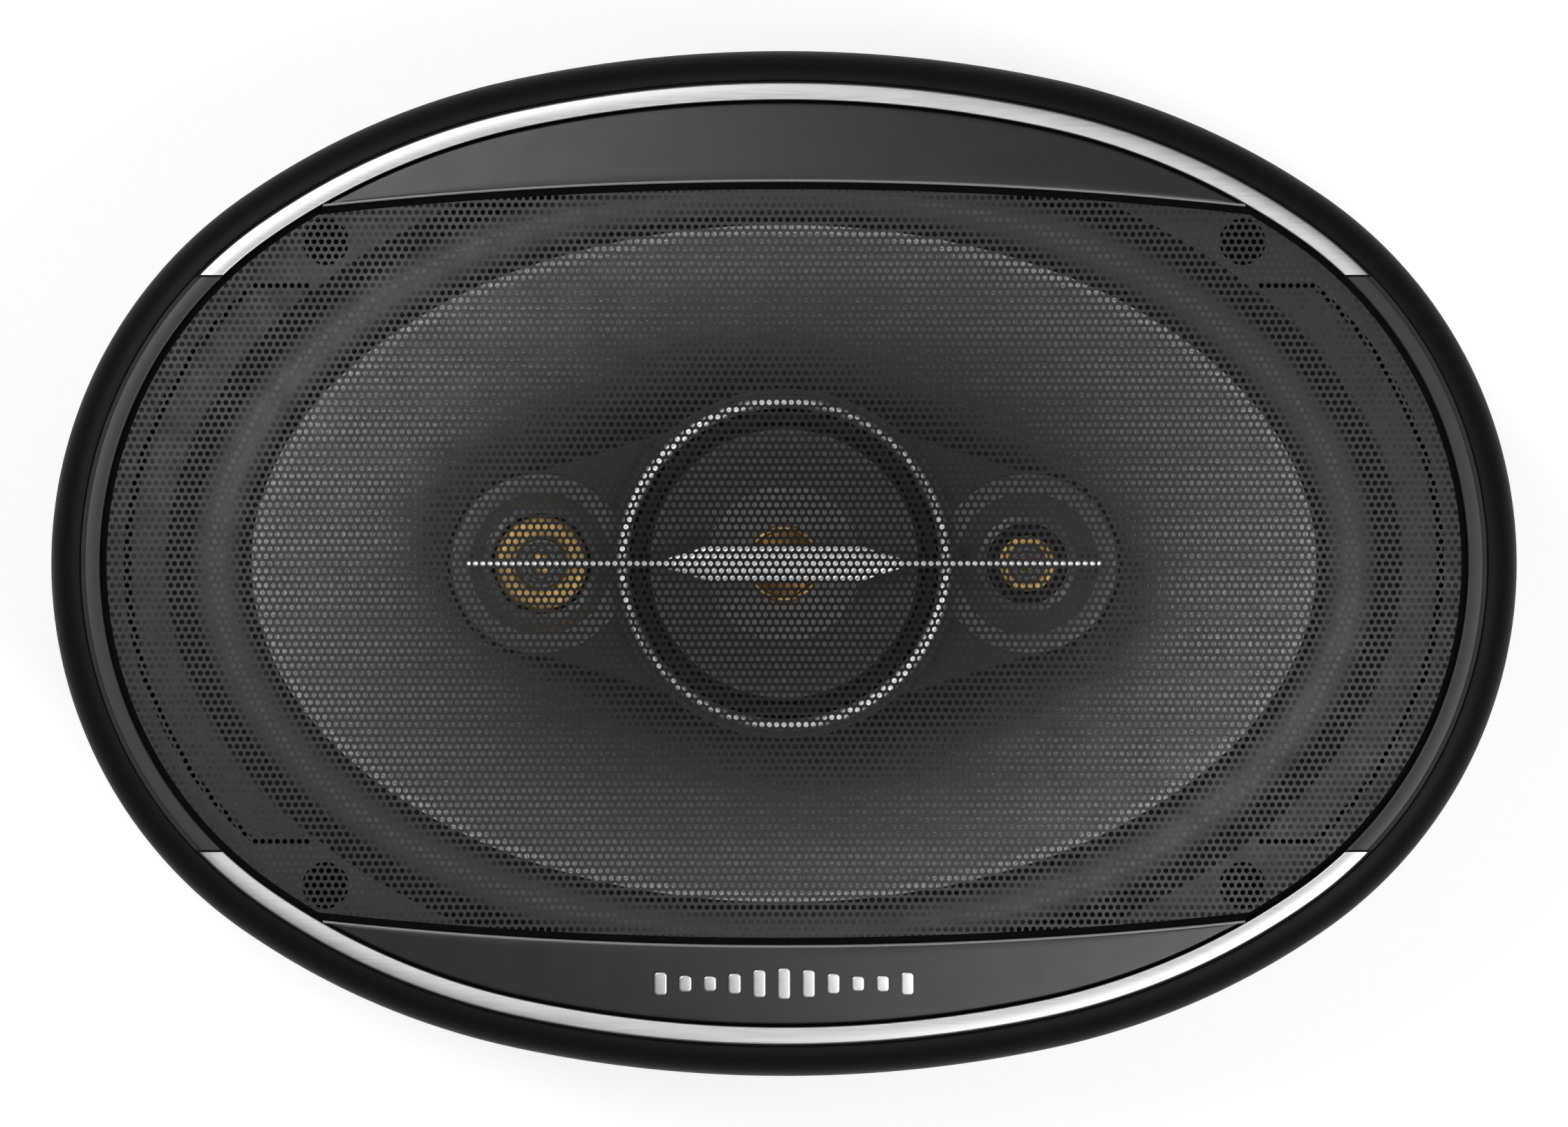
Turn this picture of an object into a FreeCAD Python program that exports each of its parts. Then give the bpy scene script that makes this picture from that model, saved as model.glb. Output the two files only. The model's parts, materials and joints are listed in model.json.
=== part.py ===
import FreeCAD, Part
import math
import os

# Oval four-way coaxial car speaker with its grille on, in millimetres.
#
# The origin is the centre of the mounting holes on the rear face of the frame's flange. +X runs along the
# oval, +Y across it and +Z forwards, out of the grille. Everything below z = 0 goes into the cut-out.
#
# Oval outlines are the frame's own outline grown or shrunk; cone and surround are ellipses grown or shrunk
# from the cone's edge. A "grow" is the distance outwards from either of those two lines.

Vector = FreeCAD.Vector

# ---------------------------------------------------------------- frame (basket)
FRAME_LENGTH = 238.0
FRAME_WIDTH = 162.9
OVAL_SIDE_ANGLE = 12.0  # half the angle of the long side's arc
OVAL_END_ANGLE = 35.0  # where the end's arc starts, from the short axis
OVAL_BLEND = 0.355  # share by which the middle arc's radius goes from the end's to the side's
SHEET = 1.0  # steel of the flange and seats
FUNNEL_WALL = 1.5  # steel of the sloping wall, measured level
FLANGE_FACE_END = 13.5  # flat flange outside the surround, at the ends
FLANGE_FACE_SIDE = 9.15  # and at the long sides
RIM_DEPTH = 8.0  # upright wall behind the flange
SPIDER_DEPTH = 38.0  # rear face of the flange to the spider's ledge
SEAT_DEPTH = 53.0  # rear face of the flange to the motor's seat
SPIDER_LEDGE = 7.0  # width of the ledge that holds the spider
SPIDER_OUTER = 44.0
HOLE_RADIUS = 2.6
HOLE_INSET = 7.8  # from the frame's edge to the hole's centre
HOLE_ANGLE = 31.3  # the hole's direction, from the short axis
HOLE_DIMPLE_RADIUS = 4.0
HOLE_DIMPLE_DEPTH = 0.4
WINDOW_TOP_GAP = 4.0  # metal left between the upright wall and a window
WINDOW_FOOT_GAP = 4.0  # metal left between a window and the spider's ledge
WINDOW_RADIUS = 3.0
SPOKE_HALF = 10.0  # half the spoke at the middle of each long side
SIDE_WINDOW_FOOT = 30.0  # how far a side window reaches along X at its foot
SIDE_WINDOW_HEAD = 66.0
END_WINDOW_FOOT = 15.0  # half width of an end window at its foot
END_WINDOW_HEAD = 33.0
GASKET_INSET = 7.2
GASKET_HOLE_GAP = 8.06  # foam's end to the mounting holes' line
GASKET_THICKNESS = 2.0
GASKET_GAP = 0.2  # foam to the surround's lip

# ---------------------------------------------------------------- woofer
SURROUND_LIP = 4.0
ROLL_WIDTH = 8.5
ROLL_HEIGHT = 4.5
SURROUND_THICKNESS = 0.6
CONE_LIP = 2.0
CONE_LIP_THICKNESS = 0.8
CONE_WALL = 1.2  # measured level
CONE_FLARE = 1.25  # 1 is a straight cone
CONE_SECTIONS = 6
NECK_RISE = 2.0  # spider's ledge to the cone's neck
COIL_RADIUS = 16.0  # inside of the former
FORMER_WALL = 0.2
WINDING_THICKNESS = 0.6
WINDING_LENGTH = 12.0
FORMER_STAND = 1.0  # former above the cone's neck
SPIDER_THICKNESS = 0.4
SPIDER_WAVES = 4
SPIDER_WAVE_HEIGHT = 0.65
SPIDER_FLAT = 2.0  # flat collar round the former
SPIDER_CLEARANCE = 0.6  # last wave to the step inside the ledge
SPIDER_EDGE_GAP = 0.5  # its edge to the wall
GLUE = 0.05

# ---------------------------------------------------------------- motor
TOP_PLATE_RADIUS = 42.0
TOP_PLATE_THICKNESS = 6.0
MAGNET_RADIUS = 45.0
MAGNET_BORE_GAP = 3.8  # magnet's bore beyond the top plate's
MAGNET_THICKNESS = 15.0
BACK_PLATE_RADIUS = 42.0
BACK_PLATE_THICKNESS = 6.0
PLATE_CHAMFER = 1.0
MAGNET_CHAMFER = 1.5
POLE_GAP = 0.4  # pole to former, and winding to top plate
SEAT_BORE_GAP = 1.8  # frame's seat beyond the top plate's bore
RIVET_COUNT = 6
RIVET_CIRCLE = 28.0  # radius
RIVET_RADIUS = 1.6
RIVET_HEAD_RADIUS = 3.0
RIVET_HEAD_HEIGHT = 1.2
RIVET_HEAD_EDGE = 0.3
RIVET_DEPTH = 3.0  # into the top plate
PIN_CLEARANCE = 0.05

# ---------------------------------------------------------------- bridge
POD_REACH = 11.7  # centre housing's edge to each tweeter's axis
POD_RADIUS = 16.5
BRIDGE_RIM = 1.0  # wall round the midrange's ring
BRIDGE_RIM_HEIGHT = 2.2  # above the midrange's seat
ARM_DROP = 1.4  # midrange's seat to the top of the arms
ARM_HEIGHT = 10.6
ARM_ROUND = 2.0
POD_FLOOR = 1.5
POD_WALL = 1.0  # between the pod's well and its rim
POD_SHELF = 1.5  # ledge under a faceplate
MOTOR_CAN_GAP = 1.6  # round the midrange's magnet
MOTOR_CAN_WALL = 1.4
CAN_FLOOR = 1.5  # under the midrange's yoke
BRIDGE_FLOOR = 1.5
BOWL_DEPTH_OUT = 4.0  # below the midrange's seat, where the bridge's bowl starts to slope
BOWL_DEPTH_IN = 2.0  # the same on its inside
POST_RADIUS = 8.0
POST_FLANGE = 2.0
BOLT_RADIUS = 2.0
BOLT_HEAD_RADIUS = 4.5
BOLT_HEAD_HEIGHT = 3.0
BOLT_GRIP = 14.0  # thread inside the post
BOLT_SINK_GAP = 0.5  # bolt's head to its counterbore
BOLT_END_GAP = 2.0  # beyond the bolt's tip
BOLT_CHAMFER = 0.4
BOLT_SOCKET = 0.5  # across, as a share of the head
BOLT_SOCKET_DEPTH = 0.6  # as a share of the head's height
POST_FLARE = 4.0  # height and width of its flared top
POST_FLARE_BOW = 1.2  # how far the flare's curve keeps in
BRIDGE_SCREW_INSET = 1.4  # from the can's outside
BRIDGE_SCREW_COUNT = 3
BRIDGE_SCREW_RADIUS = 0.6
BRIDGE_SCREW_HEAD = 1.3
BRIDGE_SCREW_HEAD_HEIGHT = 0.8
BRIDGE_SCREW_REACH = 3.5  # into the bridge
SCREW_END_GAP = 0.5
BOSS_RADIUS = 1.4
BOSS_ROOF = 1.0  # boss above its screw hole

# ---------------------------------------------------------------- midrange
MID_RADIUS = 23.8  # cone's edge
MID_ROLL = 2.6
MID_LIP = 0.9
MID_SHEET = 0.4
MID_CONE_WALL = 0.7
MID_CONE_DEPTH = 8.5
MID_COIL_RADIUS = 6.5
MID_FORMER_WALL = 0.2
MID_WINDING = 0.4
MID_WINDING_LENGTH = 4.5
MID_GAP = 0.35
MID_MOTOR_DROP = 7.0  # cone's neck to the top plate
MID_MAGNET_BORE = 3.0  # magnet's bore beyond the coil
MID_COIL_HOLE = 2.5  # bridge's hole beyond the coil
MID_PLATE_RADIUS = 13.0
MID_PLATE_THICKNESS = 2.5
MID_MAGNET_RADIUS = 14.0
MID_MAGNET_THICKNESS = 5.0
MID_YOKE_THICKNESS = 2.5
MID_CAP_RADIUS = 12.7
MID_CAP_RISE = 2.4
MID_BUTTON_RADIUS = 6.7
MID_BUTTON_RISE = 1.8
MID_CAP_LIFT = 0.1  # dust cap's edge above the cone
MID_FORMER_STAND = 1.0  # former above the cone's neck
MID_NECK_SEAT = 1.5  # cone's front at the neck, in walls
TRIM_RING_WIDTH = 1.5
TRIM_RING_HEIGHT = 3.6
TRIM_GAP = 0.05

# ---------------------------------------------------------------- cross bar
BAR_REACH = 12.5  # beyond each tweeter's axis, onto its flat ring
BAR_CLEARANCE = 1.3  # bar to the mesh's back
BAR_WIDTH = 1.4
BAR_THICKNESS = 1.0
BADGE_FLAT = 13.0
BADGE_TIP = 20.7
BADGE_HALF_HEIGHT = 3.1
BAR_LEG = 1.0

# ---------------------------------------------------------------- tweeters
FACEPLATE_RADIUS = 15.5
FACEPLATE_RING = 11.8  # inner edge of the flat ring
FACEPLATE_HEIGHT = 4.0
TWEETER_SINK = 3.4  # top of the arms to the plane that both diaphragms sit on
# (throat radius, roll's outer and inner radius, grey ring's outer and inner radius, gold button's radius)
TWEETERS = {
    "left": (8.6, 8.1, 4.15, 3.6, 2.6, 2.0),
    "right": (6.9, 4.87, 3.15, 2.9, 2.1, 1.4),
}
TWEETER_ROLL_BULGE = 0.5  # roll's rise as a share of half its width
FILM = 0.2
TWEETER_STEP = 0.4  # thickness of the cap on the coil
TWEETER_CREST = 1.0  # top of its raised ring
TWEETER_CREST_SLANT = 0.2
BUTTON_EDGE = 0.2
BUTTON_RISE = 0.5
TWEETER_COIL_LENGTH = 2.6
TWEETER_PLATE_THICKNESS = 1.0
TWEETER_MAGNET_THICKNESS = 2.0
TWEETER_YOKE_WALL = 1.2
TWEETER_GAP = 0.25
TWEETER_COIL_WALL = 0.3
TWEETER_PLATE_DROP = 1.2  # diaphragm's seat to the motor's top
TWEETER_MAGNET_STEP = 0.2  # magnet inside the plate's edge
CARRIER_BORE = 0.2  # beyond the diaphragm's edge
FACEPLATE_ROUND = 0.5
FACEPLATE_STEP = 0.3  # slant inside the flat ring
FACEPLATE_THROAT_LIP = 0.6
CAPACITOR_RADIUS = 4.0
CAPACITOR_LENGTH = 13.0
CAPACITOR_GAP = 6.5  # from the midrange's motor
CAPACITOR_ROUND = 0.5

# ---------------------------------------------------------------- terminals
BLOCK_HALF_WIDTH = 16.0
BLOCK_HEIGHT = 14.0
BLOCK_TOP = -19.0
BLOCK_DEPTH = 7.0  # beyond the frame's wall at the block's top
BLOCK_ROUND = 1.5
BLADE_FROM_BACK = 2.6  # block's outer face to the blade's middle
BLADE_PITCH = 22.0
BLADE_POSITIVE = 6.3
BLADE_NEGATIVE = 4.8
BLADE_THICKNESS = 0.8
BLADE_LENGTH = 9.0
BLADE_HOLE = 0.8
BLADE_TIP = 1.0  # chamfer at the blade's end
BLOCK_RIVET_REACH = 2.5  # past the spoke's outer face, in walls
LUG_LENGTH = 3.0
LUG_JOINT = 0.55  # share of the lug at which its lead is soldered
LEAD_RADIUS = 0.6
LEAD_GAP = 0.1  # between a lead's end and the metal it is soldered to
LEAD_ENTRY = 2.6  # lead's end behind the cone, where its eyelet starts
LEAD_JOIN_X = 9.0  # where the leads join the cone
LEAD_JOIN_SHARE = 0.42  # share of the way from the coil to the cone's edge
EYELET_RADIUS = 1.6
FEED_RADIUS = 0.45
FEED_RISE = 4.0  # bridge's foot to where its wires come out

# ---------------------------------------------------------------- grille
GRILLE_OVERHANG = 6.0  # beyond the frame's edge
GRILLE_WALL = 2.2
GRILLE_HEIGHT = 14.0  # top of the black rim
GRILLE_LIFT = 0.3  # skirt above the mounting panel
RIM_WIDTH = 5.2
RIM_ROUND = 5.0
RIM_SECTIONS = 7
BAND_WIDTH = 3.4
BAND_RISE = 1.0  # band above the rim
BAND_CHAMFER = 0.8
LEDGE_WIDTH = 2.8
LEDGE_THICKNESS = 1.0
MESH_THICKNESS = 0.6
MESH_SINK = 1.0  # rim's top to the mesh's front at the band
MESH_RISE = 3.5
MESH_OVERLAP = 1.4  # mesh under the band
MESH_LEDGE_GAP = 0.5  # mesh's back at its edge, above the ledge
MESH_CEILING = 0.15  # band above the mesh's edge
LEDGE_CUT = 0.8  # ledge's inner edge set out from the feet
TRIM_REACH = 32.45  # silver arcs cover the band this far in from the frame's long sides
TRIM_DEPTH = 0.9
TRIM_PROUD = 0.3
TRIM_GROOVE = 0.35
PANEL_DEPTH = 13.95  # panel's height at the middle
PANEL_SAG = 4.3  # how far its edge falls from the middle to where it meets the band
PANEL_INSET = 39.5  # from the frame's end to where it meets the band
PANEL_THICKNESS = 1.2
PANEL_CHAMFER = 0.7
PANEL_EDGE = 0.55  # share of the panel's thickness left at its chamfer
PANEL_JOINT = 0.4  # thickness of the strip that joins a panel to the band, as a share
PANEL_JOINT_IN = 1.0
PANEL_JOINT_OUT = 0.3
MARK_COUNT = 11  # plain raised bars on the lower panel
MARK_PITCH = 4.2
MARK_WIDTH = 2.2
MARK_TALL = 5.4
MARK_SHORT = 2.6
MARK_PROUD = 0.5
MARK_FROM_EDGE = 6.6
MARK_ROUND = 0.3  # corner radius as a share of a bar's width
MARK_WAVES = 1.5  # half waves of height each side of the middle
GRILLE_CLEARANCE = 0.1
FOOT_HALF = 1.5
FOOT_GAP = 0.1
CLIP_HALF = 6.0
CLIP_THICKNESS = 1.6
CLIP_CLEARANCE = 0.5
CLIP_FOOT = 0.5  # clip's end, as a share of the flange
CLIP_SIDE_X = 46.0
CLIP_END_Y = 26.0

# ---------------------------------------------------------------- worked out from the above
HALF_LENGTH = FRAME_LENGTH / 2
HALF_WIDTH = FRAME_WIDTH / 2
CONE_MARGIN = SURROUND_LIP + ROLL_WIDTH + CONE_LIP
CONE_A = HALF_LENGTH - FLANGE_FACE_END - CONE_MARGIN
CONE_B = HALF_WIDTH - FLANGE_FACE_SIDE - CONE_MARGIN
OPENING = CONE_LIP + ROLL_WIDTH  # grow from the cone's edge to the frame's opening
SURROUND_OUTER = OPENING + SURROUND_LIP

BAND_TOP = GRILLE_HEIGHT + BAND_RISE
RIM_GROW = GRILLE_OVERHANG - RIM_WIDTH  # from the frame's edge to the band's outer edge
BAND_GROW = RIM_GROW - BAND_WIDTH  # and to its inner edge
MESH_EDGE = GRILLE_HEIGHT - MESH_SINK
LEDGE_TOP = MESH_EDGE - MESH_THICKNESS - MESH_LEDGE_GAP
LEDGE_Z = LEDGE_TOP - LEDGE_THICKNESS
TRIM_START = HALF_WIDTH - TRIM_REACH
PANEL_MIDDLE = HALF_WIDTH + BAND_GROW - PANEL_DEPTH
PANEL_END = PANEL_MIDDLE - PANEL_SAG
PANEL_END_X = HALF_LENGTH - PANEL_INSET

SPIDER_Z = -SPIDER_DEPTH
SEAT_Z = -SEAT_DEPTH
PLATE_Z = SEAT_Z - SHEET
MAGNET_Z = PLATE_Z - TOP_PLATE_THICKNESS
BACK_Z = MAGNET_Z - MAGNET_THICKNESS
BOTTOM_Z = BACK_Z - BACK_PLATE_THICKNESS

FORMER_OUTER = COIL_RADIUS + FORMER_WALL
WINDING_OUTER = FORMER_OUTER + WINDING_THICKNESS
POLE_RADIUS = COIL_RADIUS - POLE_GAP
GAP_RADIUS = WINDING_OUTER + POLE_GAP
SEAT_BORE = GAP_RADIUS + SEAT_BORE_GAP
MAGNET_BORE = GAP_RADIUS + MAGNET_BORE_GAP
NECK_Z = SPIDER_Z + NECK_RISE
STEP_RADIUS = SPIDER_OUTER - SPIDER_LEDGE

TRIM_RING_INNER = MID_RADIUS + MID_ROLL + MID_LIP
TRIM_RING_OUTER = TRIM_RING_INNER + TRIM_RING_WIDTH
BRIDGE_RADIUS = TRIM_RING_OUTER + BRIDGE_RIM
POD_PITCH = BRIDGE_RADIUS + POD_REACH
BAR_HALF_LENGTH = POD_PITCH + BAR_REACH
MOTOR_CAN_RADIUS = MID_MAGNET_RADIUS + MOTOR_CAN_GAP + MOTOR_CAN_WALL
BRIDGE_SCREW_CIRCLE = MOTOR_CAN_RADIUS - BRIDGE_SCREW_INSET
BAR_Z = MESH_EDGE + MESH_RISE - MESH_THICKNESS - BAR_CLEARANCE - BAR_THICKNESS
MID_SEAT = BAR_Z - TRIM_RING_HEIGHT  # height of the plane that the midrange's surround sits on
BRIDGE_TOP = MID_SEAT + BRIDGE_RIM_HEIGHT
ARM_TOP = MID_SEAT - ARM_DROP
ARM_BOTTOM = ARM_TOP - ARM_HEIGHT
MID_NECK = MID_COIL_RADIUS + MID_FORMER_WALL + GLUE
MID_NECK_Z = MID_SEAT - MID_CONE_DEPTH
MID_PLATE_TOP = MID_NECK_Z - MID_MOTOR_DROP
MID_MAGNET_TOP = MID_PLATE_TOP - MID_PLATE_THICKNESS
MID_YOKE_TOP = MID_MAGNET_TOP - MID_MAGNET_THICKNESS
MID_BOTTOM = MID_YOKE_TOP - MID_YOKE_THICKNESS
CAN_BOTTOM = MID_BOTTOM - CAN_FLOOR
TWEETER_SEAT = ARM_TOP - TWEETER_SINK
FACEPLATE_Z = TWEETER_SEAT
POD_WELL = FACEPLATE_RADIUS - POD_SHELF


# ---------------------------------------------------------------- outlines
def oval_radii():
    """Radii of the frame's end, middle and side arcs, which meet tangentially."""
    s_end = math.sin(math.radians(OVAL_END_ANGLE))
    c_end = math.cos(math.radians(OVAL_END_ANGLE))
    s_side = math.sin(math.radians(OVAL_SIDE_ANGLE))
    c_side = math.cos(math.radians(OVAL_SIDE_ANGLE))
    # half length = x_side * side + x_end * end, and half width likewise
    x_side = s_side + (s_end - s_side) * OVAL_BLEND
    x_end = 1 - s_end + (s_end - s_side) * (1 - OVAL_BLEND)
    y_side = 1 - c_side + (c_side - c_end) * OVAL_BLEND
    y_end = c_end + (c_side - c_end) * (1 - OVAL_BLEND)
    scale = x_side * y_end - x_end * y_side
    side = (y_end * HALF_LENGTH - x_end * HALF_WIDTH) / scale
    end = (x_side * HALF_WIDTH - y_side * HALF_LENGTH) / scale
    middle = end + (side - end) * OVAL_BLEND
    return end, middle, side


def oval_centres():
    """Centres of the end, middle and side arcs in the +X +Y quarter."""
    end, middle, side = oval_radii()
    a_end = math.radians(OVAL_END_ANGLE)
    c_end = (HALF_LENGTH - end, 0.0)
    c_mid = (c_end[0] - (middle - end) * math.sin(a_end), -(middle - end) * math.cos(a_end))
    return c_end, c_mid, (0.0, HALF_WIDTH - side)


def arc(centre, radius, start, stop, z):
    """Arc about a centre, from start to stop degrees, counter-clockwise from +X."""
    circle = Part.Circle(Vector(centre[0], centre[1], z), Vector(0, 0, 1), radius)
    return Part.ArcOfCircle(circle, math.radians(start), math.radians(stop)).toShape()


def oval(grow, z):
    """The frame's outline grown by a distance: eight tangent arcs."""
    end, middle, side = (r + grow for r in oval_radii())
    c_end, c_mid, c_side = oval_centres()
    a, b = 90 - OVAL_END_ANGLE, 90 - OVAL_SIDE_ANGLE
    edges = []
    for sx, start in ((1, -a), (-1, 180 - a)):
        edges.append(arc((sx * c_end[0], 0), end, start, start + 2 * a, z))
    for sy, start in ((1, b), (-1, 180 + b)):
        edges.append(arc((0, sy * c_side[1]), side, start, start + 2 * OVAL_SIDE_ANGLE, z))
    for sx, sy, start in ((1, 1, a), (-1, 1, 180 - b), (-1, -1, 180 + a), (1, -1, -b)):
        edges.append(arc((sx * c_mid[0], sy * c_mid[1]), middle, start, start + b - a, z))
    return Part.Wire(Part.__sortEdges__(edges))


def ellipse(grow, z):
    """The cone's edge grown by a distance."""
    a, b = CONE_A + grow, CONE_B + grow
    return Part.Wire(Part.Ellipse(Vector(0, 0, z), a, b).toShape())


def circle(radius, z, x=0.0, y=0.0):
    return Part.Wire(Part.makeCircle(radius, Vector(x, y, z), Vector(0, 0, 1)))


def hole_centre():
    """Mounting hole in the +X +Y quarter, set in from the frame's middle arc."""
    middle = oval_radii()[1]
    c_mid = oval_centres()[1]
    reach = middle - HOLE_INSET
    a = math.radians(HOLE_ANGLE)
    return c_mid[0] + reach * math.sin(a), c_mid[1] + reach * math.cos(a)


def prism(wire, height):
    return Part.Face(wire).extrude(Vector(0, 0, height))


def plate(outer, inner, height):
    """Flat ring between two wires at the same height."""
    return prism(outer, height).cut(prism(inner, height))


def between(make, outer, inner, z0, z1):
    """Ring between two sizes of one outline, from z0 to z1."""
    return plate(make(outer, z0), make(inner, z0), z1 - z0)


def box(x0, x1, y0, y1, z0, z1):
    return Part.makeBox(x1 - x0, y1 - y0, z1 - z0, Vector(x0, y0, z0))


def cylinder(radius, z0, z1, x=0.0, y=0.0):
    return Part.makeCylinder(radius, z1 - z0, Vector(x, y, z0))


def tube(outer, inner, z0, z1, x=0.0, y=0.0):
    return cylinder(outer, z0, z1, x, y).cut(cylinder(inner, z0, z1, x, y))


def profile(points):
    """Closed face in the XZ plane. A point is (r, z), or (middle, end) for an arc through middle."""
    edges = []
    here = points[0]
    for item in points[1:] + [points[0]]:
        if isinstance(item[0], tuple):
            middle, there = item
            edges.append(Part.Arc(at(here), at(middle), at(there)).toShape())
        else:
            there = item
            if at(here).distanceToPoint(at(there)) > 1e-6:
                edges.append(Part.LineSegment(at(here), at(there)).toShape())
        here = there
    return Part.Face(Part.Wire(edges))


def at(point):
    return Vector(point[0], 0, point[1])


def turned(points, x=0.0, y=0.0):
    """Solid of revolution about the upright axis through (x, y)."""
    shape = profile(points).revolve(Vector(0, 0, 0), Vector(0, 0, 1), 360)
    shape.translate(Vector(x, y, 0))
    return shape


def cap(radius, rise, thickness, z, inner=0.0):
    """Thin dome, or a dome's outer ring if inner is set, as a profile for turned()."""
    big = (radius * radius + rise * rise) / (2 * rise)
    centre = z + rise - big

    def height(r):
        return centre + math.sqrt(big * big - r * r)

    half = (radius + inner) / 2
    foot = height(inner)
    return [
        (inner, foot),
        ((half, height(half)), (radius, z)),
        (radius, z + thickness),
        ((half, height(half) + thickness), (inner, foot + thickness)),
    ]


def crown(radius, rise, z):
    """Last arc of a profile whose round top meets the axis square on."""
    big = (radius * radius + rise * rise) / (2 * rise)
    half = radius / 2
    return (half, z + rise - big + math.sqrt(big * big - half * half)), (0, z + rise)


def rolled(outer, inner, rise, thickness, z):
    """Half roll between two radii with flat feet, as a profile for turned()."""
    half = (outer + inner) / 2
    return [
        (inner, z),
        ((half, z + rise), (outer, z)),
        (outer, z + thickness),
        ((half, z + rise + thickness), (inner, z + thickness)),
    ]


def fuse(shapes):
    whole = shapes[0].fuse(shapes[1:]) if len(shapes) > 1 else shapes[0]
    return whole.removeSplitter()


def along(points, radius):
    """Round wire along straight runs that are joined by tangent arcs, and the arcs' radii."""
    nodes = [Vector(*p) for p in points]
    edges, radii = [], []
    here = nodes[0]
    for before, corner, after in zip(nodes, nodes[1:], nodes[2:]):
        back, ahead = (before - corner), (after - corner)
        turn = math.pi - back.getAngle(ahead)
        run = min(back.Length, ahead.Length)
        setback = 0.45 * run
        start = corner + back.normalize() * setback
        stop = corner + ahead.normalize() * setback
        bend = setback / math.tan(turn / 2)
        half = (back + ahead).normalize()
        middle = corner + half * (bend / math.cos(turn / 2) - bend)
        edges.append(Part.LineSegment(here, start).toShape())
        edges.append(Part.Arc(start, middle, stop).toShape())
        radii.append(round(bend, 1))
        here = stop
    edges.append(Part.LineSegment(here, nodes[-1]).toShape())
    spine = Part.Wire(edges)
    disc = Part.Wire(Part.makeCircle(radius, nodes[0], nodes[1] - nodes[0]))
    solid = spine.makePipeShell([disc], True, True)
    ratio = solid.Volume / (math.pi * radius * radius * spine.Length)
    print("wire radii", radii, "length", round(spine.Length, 1), "volume share", round(ratio, 3))
    return solid


# ---------------------------------------------------------------- frame and motor
def funnel(grow, top, foot):
    """Solid inside the sloping wall, from the upright wall down to the spider's ledge."""
    return Part.makeLoft([ellipse(OPENING + grow, top), circle(SPIDER_OUTER + grow, foot)], True, True)


def window(foot0, foot1, head0, head1, far):
    """Trapezium with round corners in the XZ plane, run along +Y to a distance."""
    low = SPIDER_Z + WINDOW_FOOT_GAP
    high = -RIM_DEPTH - WINDOW_TOP_GAP
    corners = [(foot0, low), (foot1, low), (head1, high), (head0, high)]
    solid = profile(corners).extrude(Vector(0, far, 0))
    upright = [e for e in solid.Edges if abs(e.tangentAt(e.FirstParameter).y) > 0.99]
    return solid.makeFillet(WINDOW_RADIUS, upright)


def windows():
    """Two windows along each long side and one at each end."""
    side = window(SPOKE_HALF, SIDE_WINDOW_FOOT, SPOKE_HALF, SIDE_WINDOW_HEAD, HALF_WIDTH)
    end = window(-END_WINDOW_FOOT, END_WINDOW_FOOT, -END_WINDOW_HEAD, END_WINDOW_HEAD, HALF_LENGTH)
    end.rotate(Vector(), Vector(0, 0, 1), -90)
    end.translate(Vector(SPIDER_OUTER * 0.6, 0, 0))
    cuts = [end, end.mirror(Vector(), Vector(1, 0, 0))]
    for shape in (side, side.mirror(Vector(), Vector(1, 0, 0))):
        cuts += [shape, shape.mirror(Vector(), Vector(0, 1, 0))]
    return cuts


def rivet_places():
    step = 360.0 / RIVET_COUNT
    angles = [math.radians(step * (i + 0.5)) for i in range(RIVET_COUNT)]
    return [(RIVET_CIRCLE * math.cos(a), RIVET_CIRCLE * math.sin(a)) for a in angles]


def basket():
    hx, hy = hole_centre()
    flange = plate(oval(0, 0), ellipse(OPENING, 0), SHEET)
    wall = between(ellipse, OPENING + FUNNEL_WALL, OPENING, -RIM_DEPTH, SHEET)
    slope = funnel(FUNNEL_WALL, -RIM_DEPTH, SPIDER_Z - SHEET).cut(funnel(0, -RIM_DEPTH, SPIDER_Z))
    slope = slope.cut(cylinder(STEP_RADIUS - SHEET, SPIDER_Z - SHEET, SPIDER_Z))
    step = tube(STEP_RADIUS, STEP_RADIUS - SHEET, PLATE_Z, SPIDER_Z)
    seat = tube(STEP_RADIUS, SEAT_BORE, PLATE_Z, SEAT_Z)
    body = fuse([flange, wall, slope, step, seat])
    cuts = windows() + [block_rivet_hole()]
    for x, y in rivet_places():
        cuts.append(cylinder(RIVET_RADIUS + PIN_CLEARANCE, PLATE_Z, SEAT_Z, x, y))
    for x, y in ((hx, hy), (-hx, hy), (-hx, -hy), (hx, -hy)):
        cuts.append(cylinder(HOLE_RADIUS, 0, SHEET, x, y))
        cuts.append(cylinder(HOLE_DIMPLE_RADIUS, SHEET - HOLE_DIMPLE_DEPTH, SHEET, x, y))
    return body.cut(cuts)


def flange_gasket():
    """Left and right foam pads on the flange's front."""
    outer = oval(-GASKET_INSET, SHEET)
    ring = plate(outer, ellipse(SURROUND_OUTER + GASKET_GAP, SHEET), GASKET_THICKNESS)
    reach = hole_centre()[1] - GASKET_HOLE_GAP
    keep = box(-HALF_LENGTH, HALF_LENGTH, -reach, reach, 0, 10)
    return ring.common(keep)


def top_plate():
    c = PLATE_CHAMFER
    shape = turned([
        (GAP_RADIUS, MAGNET_Z), (TOP_PLATE_RADIUS - c, MAGNET_Z), (TOP_PLATE_RADIUS, MAGNET_Z + c),
        (TOP_PLATE_RADIUS, PLATE_Z - c), (TOP_PLATE_RADIUS - c, PLATE_Z), (GAP_RADIUS, PLATE_Z),
    ])
    deep = PLATE_Z - RIVET_DEPTH
    holes = [cylinder(RIVET_RADIUS + PIN_CLEARANCE, deep, PLATE_Z, x, y) for x, y in rivet_places()]
    return shape.cut(holes)


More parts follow.
